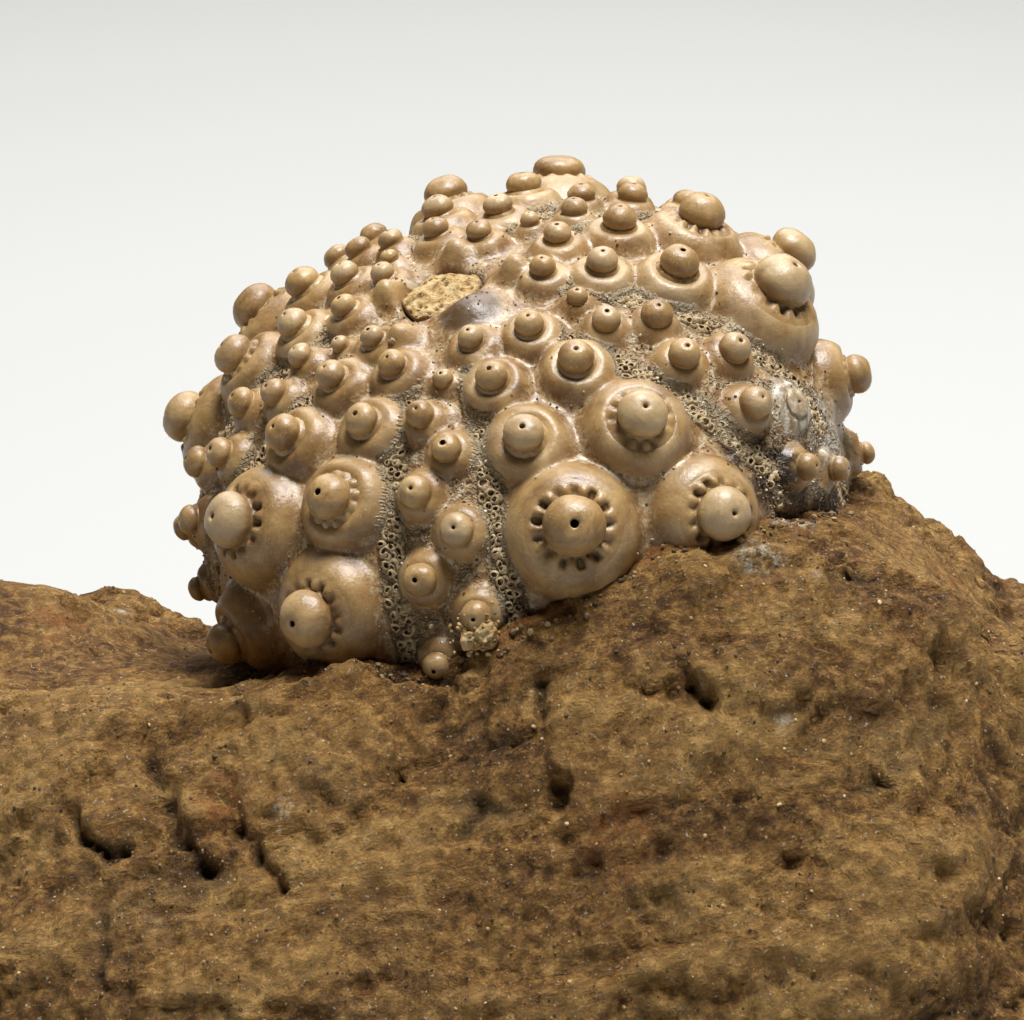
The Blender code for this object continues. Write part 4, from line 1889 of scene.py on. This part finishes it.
CHIPS = (
    Spot((18.6, -18.7, 32.0), 1.0), Spot((16.2, -24.6, 23.9), 0.8), Spot((26.1, -22.0, 23.7), 1.1),
    Spot((25.5, -21.8, 24.7), 0.8), Spot((-28.9, 16.9, 18.4), 1.2), Spot((-13.9, -23.5, 17.9), 0.9),
    Spot((11.2, -22.6, 25.9), 0.8), Spot((-23.9, -26.8, 13.1), 1.0), Spot((-21.8, -27.5, 12.8), 1.0),
    Spot((15.0, -17.7, 32.6), 2.0), Spot((13.2, -16.9, 33.4), 1.6), Spot((17.4, -12.2, 33.0), 1.8),
)
RUSTS = (
    Spot((-31.4, 4.1, 21.5), 2.6), Spot((-26.9, 17.7, 15.7), 2.4), Spot((28.7, -4.7, 28.3), 3.2),
    Spot((17.9, -13.1, 33.3), 1.8), Spot((-17.5, -22.0, 18.0), 3.0), Spot((6.0, -27.0, 18.0), 3.6),
)
SMOOTH = (Spot((-33.0, 10.0, 22.0), 20.0), Spot((-25.4, -21.5, 17.8), 3.6), Spot((26.0, -6.0, 30.0), 11.0))


@dataclass
class MatrixStone:
    """The block of stone round the foot of the test."""

    shape: StoneShape
    test: TestShape
    cuts: tuple = (239, 149, 69)
    ledge_layers: tuple = ((7.5, 1.0, 2.2), (2.5, 0.35, 8.1))
    ledge_rise: float = 1.4
    ledge_steps: float = 2.6
    ledge_ramp: float = 0.3
    crack_layers: tuple = ((6.5, 1.0, 4.4), (6.5 / 3, 0.3, 5.9))
    crack_width: float = 0.05
    crack_sink: float = 0.7
    crack_patches: tuple = (11.0 * MM, 6.6)
    pit_size: float = 0.0021
    pit_patches: tuple = (3.0 * MM, 1.2)
    pit_sink: float = 0.5
    bed_grain: tuple = ((1.7, 0.34, 3.9),)
    loose_grain: tuple = ((0.85, 0.38, 6.1),)
    calm_grain: float = 0.65
    calm_ledges: float = 0.85
    ragged: tuple = (1.6, 0.9, 11.0)
    named_pit_sink: float = 0.8
    wear: float = 0.35
    foot_relief: float = 0.3
    bed_tilt: float = math.radians(20)
    bed_stretch: float = 1.8
    seat_gap: float = 0.0006
    seat_floor: float = 0.014
    contact: tuple = (1.6, 0.2)
    edge_margin: float = 0.6 * MM
    grit: Strewing = Strewing("stone_grains", 31, 5200, 0.06, 0.1, 2, 0.0, -0.2, 0.2)
    crumbs: Strewing = Strewing("contact_crumbs", 41, 520, 0.07, 0.2, 3, 0.0, 0.3, 0.2)
    crumb_shade: float = 0.36
    clump_seed: int = 51
    clump_count: int = 120
    clump_grains: tuple = (0.08, 0.2)
    clump_layers: tuple = ((0.9, 0.5, 8.0), (0.3, 0.2, 9.0))
    clump_place: tuple = (-0.0021, -0.0180, 0.0274)
    clump_reach: tuple = (0.001, 0.0005, 0.0007)
    clump_size: tuple = (0.0012, 0.001, 0.0009)

    def build(self) -> None:
        """Build and dress the stone, its loose grains and the crumbs round the test."""
        mesh = self.block_mesh()
        block = show(mesh, "stone_block", RockFinish().material("ochre rock"))
        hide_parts("matrix_stone")
        grit = GrainFinish(tint(62, 42, 22), tint(136, 102, 54), tint(210, 188, 144), 0.6)
        show(self.grains_mesh(mesh), "stone_grains", grit.material("rock grit"))
        dust = GrainFinish(tint(70, 52, 32), tint(124, 99, 64), tint(176, 154, 112), 0.7)
        show(self.crumbs_mesh(mesh), "contact_crumbs", dust.material("grey crumbs"))
        ochre = SedimentFinish().material("loose sediment")
        show(self.clump_mesh(), "sediment_clump", ochre)

    def block_mesh(self) -> bpy.types.Mesh:
        """Make the block: a flat foot, leaning rough sides, an uneven top and the test's seat.

        Returns:
            The mesh.
        """
        mesh = self.cube_mesh()
        unit = points_of(mesh)
        foot = unit[:, 2] < -0.999
        free = smooth_step(0.0, self.shape.lump_start, (unit[:, 2] + 1.0) / 2)
        put_points(mesh, self.shape.moulded(unit))
        points = points_of(mesh)
        normals = normals_of(mesh)
        lumps = sum(high * noise_at(points, wide) for wide, high in self.shape.lumps)
        moved = points + normals * (lumps * free)[:, None]
        self.fit_to_size(moved)
        rough = self.foot_relief + (1.0 - self.foot_relief) * free
        relief = np.where(foot, 0.0, (self.relief(moved) - self.wear) * rough)
        moved += normals * (relief * MM)[:, None]
        moved[foot, 2] = 0.0
        self.fit_to_size(moved)
        self.press_seat(moved)
        put_points(mesh, moved)
        edge = 0.6 * smooth_step(*self.contact, self.beside_test(moved) / MM)
        # height: the relief, which the finish paints paler where high and darker in hollows, as highlight and
        # shade
        put_values(mesh, height=relief, chalk=spots_share(CHIPS, moved),
                   rust=np.maximum(spots_share(RUSTS, moved) * 0.7, edge))
        return self.close_foot(mesh)

    def cube_mesh(self) -> bpy.types.Mesh:
        """Make a cube of fine squares, each axis -1 to 1.

        Returns:
            The mesh.
        """
        shape = bmesh.new()
        bmesh.ops.create_cube(shape, size=2.0)
        for axis, cuts in enumerate(self.cuts):
            along = [edge for edge in shape.edges
                     if abs(edge.verts[0].co[axis] - edge.verts[1].co[axis]) > 1.9]
            bmesh.ops.subdivide_edges(shape, edges=along, cuts=cuts, use_grid_fill=True)
        return finished_mesh(shape, "stone_block")

    def relief(self, points: Array) -> Array:
        """Work out the fine relief of the rock: ledges, cracks, pits and grain.

        Args:
            points: N x 3 places on the smooth stone.

        Returns:
            Heights in millimetres.
        """
        true, points = points, self.bedded(points)
        calm = spots_share(SMOOTH, true)
        steps = noise_sum(points, self.ledge_layers) * self.ledge_steps
        ledge = np.floor(steps) + smooth_step(0.0, self.ledge_ramp, steps % 1.0)
        ledge = ledge / self.ledge_steps * self.ledge_rise
        line = noise_sum(points, self.crack_layers)
        some = smooth_step(0.0, 0.35, noise_at(points, *self.crack_patches))
        crack = np.exp(-(line / self.crack_width) ** 2) * some * self.crack_sink
        rare = smooth_step(0.1, 0.4, noise_at(points, *self.pit_patches))
        pit = smooth_step(0.42, 0.1, nearest_cell(points, self.pit_size)) * rare * self.pit_sink
        grain = noise_sum(points, self.bed_grain) + noise_sum(true, self.loose_grain)
        grain *= 1.0 - self.calm_grain * calm
        relief = ledge * (1.0 - self.calm_ledges * calm) + grain - crack - pit
        ragged = jostled(true, *self.ragged)
        for named in (*CRACKS, BRIM):
            relief -= named.nearness(ragged) * named.depth
        return relief - spots_share(PITS, ragged) * self.named_pit_sink

    def bedded(self, points: Array) -> Array:
        """Return places shortened along the rock's bedding, so that its relief runs with it."""
        along = np.array([math.cos(self.bed_tilt), 0.0, math.sin(self.bed_tilt)])
        return points - np.outer(points @ along, along) * (1.0 - 1.0 / self.bed_stretch)

    def fit_to_size(self, points: Array) -> None:
        """Stretch the stone to its exact length and width, about the origin.

        Args:
            points: N x 3 places, changed in place.
        """
        for axis, size in ((0, self.shape.length), (1, self.shape.width)):
            low, high = points[:, axis].min(), points[:, axis].max()
            points[:, axis] = (points[:, axis] - low) / (high - low) * size - size / 2

    def beside_test(self, points: Array) -> Array:
        """Return roughly how far places lie outside the test, in metres."""
        local = self.test.local(points)
        flat = np.hypot(local[:, 0], local[:, 1])
        wide, high = self.test.radius, self.test.radius * self.test.flatness
        return (np.hypot(flat / wide, local[:, 2] / high) - 1.0) * wide

    def press_seat(self, points: Array) -> None:
        """Press the top down under the test, so that the test has its seat.

        Args:
            points: N x 3 places, changed in place.
        """
        top = points[:, 2] > self.shape.top(points[:, 0], points[:, 1]) * 0.5
        seat = np.nonzero(top & (self.beside_test(points) < -self.seat_gap))[0]
        points[seat, 2] = np.minimum(points[seat, 2], self.seat_floor)

    def close_foot(self, mesh: bpy.types.Mesh) -> bpy.types.Mesh:
        """Make the foot one flat face.

        Args:
            mesh: the stone.

        Returns:
            The mesh.
        """
        with opened(mesh) as shape:
            foot = [face for face in shape.faces if all(vert.co.z < WELD for vert in face.verts)]
            bmesh.ops.dissolve_faces(shape, faces=foot, use_verts=True)
            for face in shape.faces:
                face.smooth = abs(face.normal.z + 1.0) > WELD
        return mesh

    def grains_mesh(self, mesh: bpy.types.Mesh) -> bpy.types.Mesh:
        """Strew grit over the stone's top and sides.

        Args:
            mesh: the finished stone.

        Returns:
            The mesh of the grit.
        """
        points = points_of(mesh)
        normals = normals_of(mesh)
        weight = (points[:, 2] > 2.5 * MM) * (self.beside_test(points) > 0.3 * MM) * (normals[:, 2] > -0.3)
        weight = weight * (0.25 + (normals[:, 1] < 0.3)) * (1.0 - 0.7 * spots_share(SMOOTH, points))
        half = np.array([self.shape.length, self.shape.width]) / 2
        inner = (np.abs(points[:, :2]) < half - self.edge_margin).all(axis=1)
        grains = Grains(self.grit.name, self.grit.seed)
        return grains.strew(mesh, weight * inner, self.crumb_shade, self.grit)

    def crumbs_mesh(self, mesh: bpy.types.Mesh) -> bpy.types.Mesh:
        """Heap greyish crumbs in the corner between the stone and the test.

        Args:
            mesh: the finished stone.

        Returns:
            The mesh of the crumbs.
        """
        points = points_of(mesh)
        normals = normals_of(mesh)
        beside = self.beside_test(points) / MM
        weight = smooth_step(0.1, 0.4, beside) * smooth_step(2.6, 0.6, beside) * (points[:, 2] > 10 * MM)
        grains = Grains(self.crumbs.name, self.crumbs.seed)
        return grains.strew(mesh, weight * (normals[:, 2] > 0.1), self.crumb_shade, self.crumbs)

    def clump_mesh(self) -> bpy.types.Mesh:
        """Make the lump of yellow sediment at the test's front, with loose grains on it.

        Returns:
            The mesh of the lump.
        """
        heap = Grains("loose sediment", self.clump_seed)
        for _ in range(self.clump_count):
            place = [heap.dice.gauss(*pair) for pair in zip(self.clump_place, self.clump_reach)]
            heap.add(np.array(place), heap.dice.uniform(*self.clump_grains) * MM, 0.5)
        loose = heap.mesh()
        shape = bmesh.new()
        lie = Matrix.Translation(self.clump_place) @ Matrix.Diagonal((*self.clump_size, 1.0))
        bmesh.ops.create_icosphere(shape, subdivisions=6, radius=1.0, matrix=lie)
        lump = finished_mesh(shape, "sediment_clump")
        points = points_of(lump)
        push = noise_sum(points, self.clump_layers)
        put_points(lump, points + normals_of(lump) * push[:, None] * MM)
        with opened(lump) as shape:
            shape.from_mesh(loose)
            for face in shape.faces:
                face.smooth = True
        bpy.data.meshes.remove(loose)
        return lump


# ---- the studio ---------------------------------------------------------
@dataclass(frozen=True)
class Lamp:
    """A square lamp: where it hangs, what it faces, its side in metres and its watts."""

    name: str
    place: tuple[float, float, float]
    target: tuple[float, float, float]
    side: float
    power: float

    def hang(self) -> None:
        """Hang the lamp in the scene."""
        light = bpy.data.lights.new(self.name, "AREA")
        light.size = self.side
        light.energy = self.power
        hung = bpy.data.objects.new(self.name, light)
        hung.location = self.place
        facing = Vector(self.target) - Vector(self.place)
        hung.rotation_euler = facing.to_track_quat("-Z", "Y").to_euler()
        bpy.context.scene.collection.objects.link(hung)


@dataclass(frozen=True)
class Studio:
    """A pale floor, soft light from above and the camera."""

    lens: float = 105.58
    film: float = 36.0
    sight: tuple = (0.01, 20.0)
    eye: tuple = (-0.00013, -0.1945, 0.08255)
    tilt: float = math.radians(75)
    floor_size: float = 6.0
    room: float = 0.03
    lamps: tuple = (Lamp("overhead", (0.09, -0.05, 0.75), (0.0, 0.0, 0.03), 0.26, 10.0),
                    Lamp("backdrop", (0.0, 0.85, 0.85), (0.0, 0.85, 0.0), 1.0, 14.0))

    def build(self) -> None:
        """Lay the floor, hang the lights and set the camera."""
        self.lay_floor()
        self.light_room()
        for lamp in self.lamps:
            lamp.hang()
        self.set_camera()

    def lay_floor(self) -> None:
        """Lay the floor, level with the foot of the stone."""
        shape = bmesh.new()
        bmesh.ops.create_grid(shape, x_segments=2, y_segments=2, size=self.floor_size / 2)
        mesh = finished_mesh(shape, "floor")
        floor = bpy.data.objects.new("floor", mesh)
        bpy.context.scene.collection.objects.link(floor)
        mesh.materials.append(FloorFinish().material("pale floor"))

    def light_room(self) -> None:
        """Fill the room with even pale light."""
        world = bpy.data.worlds.new("room")
        world.use_nodes = True
        sky = world.node_tree.nodes["Background"]
        sky.inputs["Color"].default_value = (1.0, 1.0, 1.0, 1.0)
        sky.inputs["Strength"].default_value = self.room
        bpy.context.scene.world = world

    def set_camera(self) -> None:
        """Set the camera and plain film."""
        lens = bpy.data.cameras.new("camera")
        lens.lens = self.lens
        lens.sensor_width = self.film
        lens.clip_start, lens.clip_end = self.sight
        camera = bpy.data.objects.new("camera", lens)
        camera.location = self.eye
        camera.rotation_euler = (self.tilt, 0.0, 0.0)
        bpy.context.scene.collection.objects.link(camera)
        bpy.context.scene.camera = camera
        bpy.context.scene.view_settings.view_transform = "Standard"


def main() -> None:
    """Build the part and its studio."""
    logging.basicConfig(level=logging.INFO, format="%(message)s")
    test = TestShape()
    stone = StoneShape()
    UrchinTest(test, stone).build()
    SedimentFill(test).build()
    MatrixStone(stone, test).build()
    Studio().build()


if __name__ == "__main__":
    main()
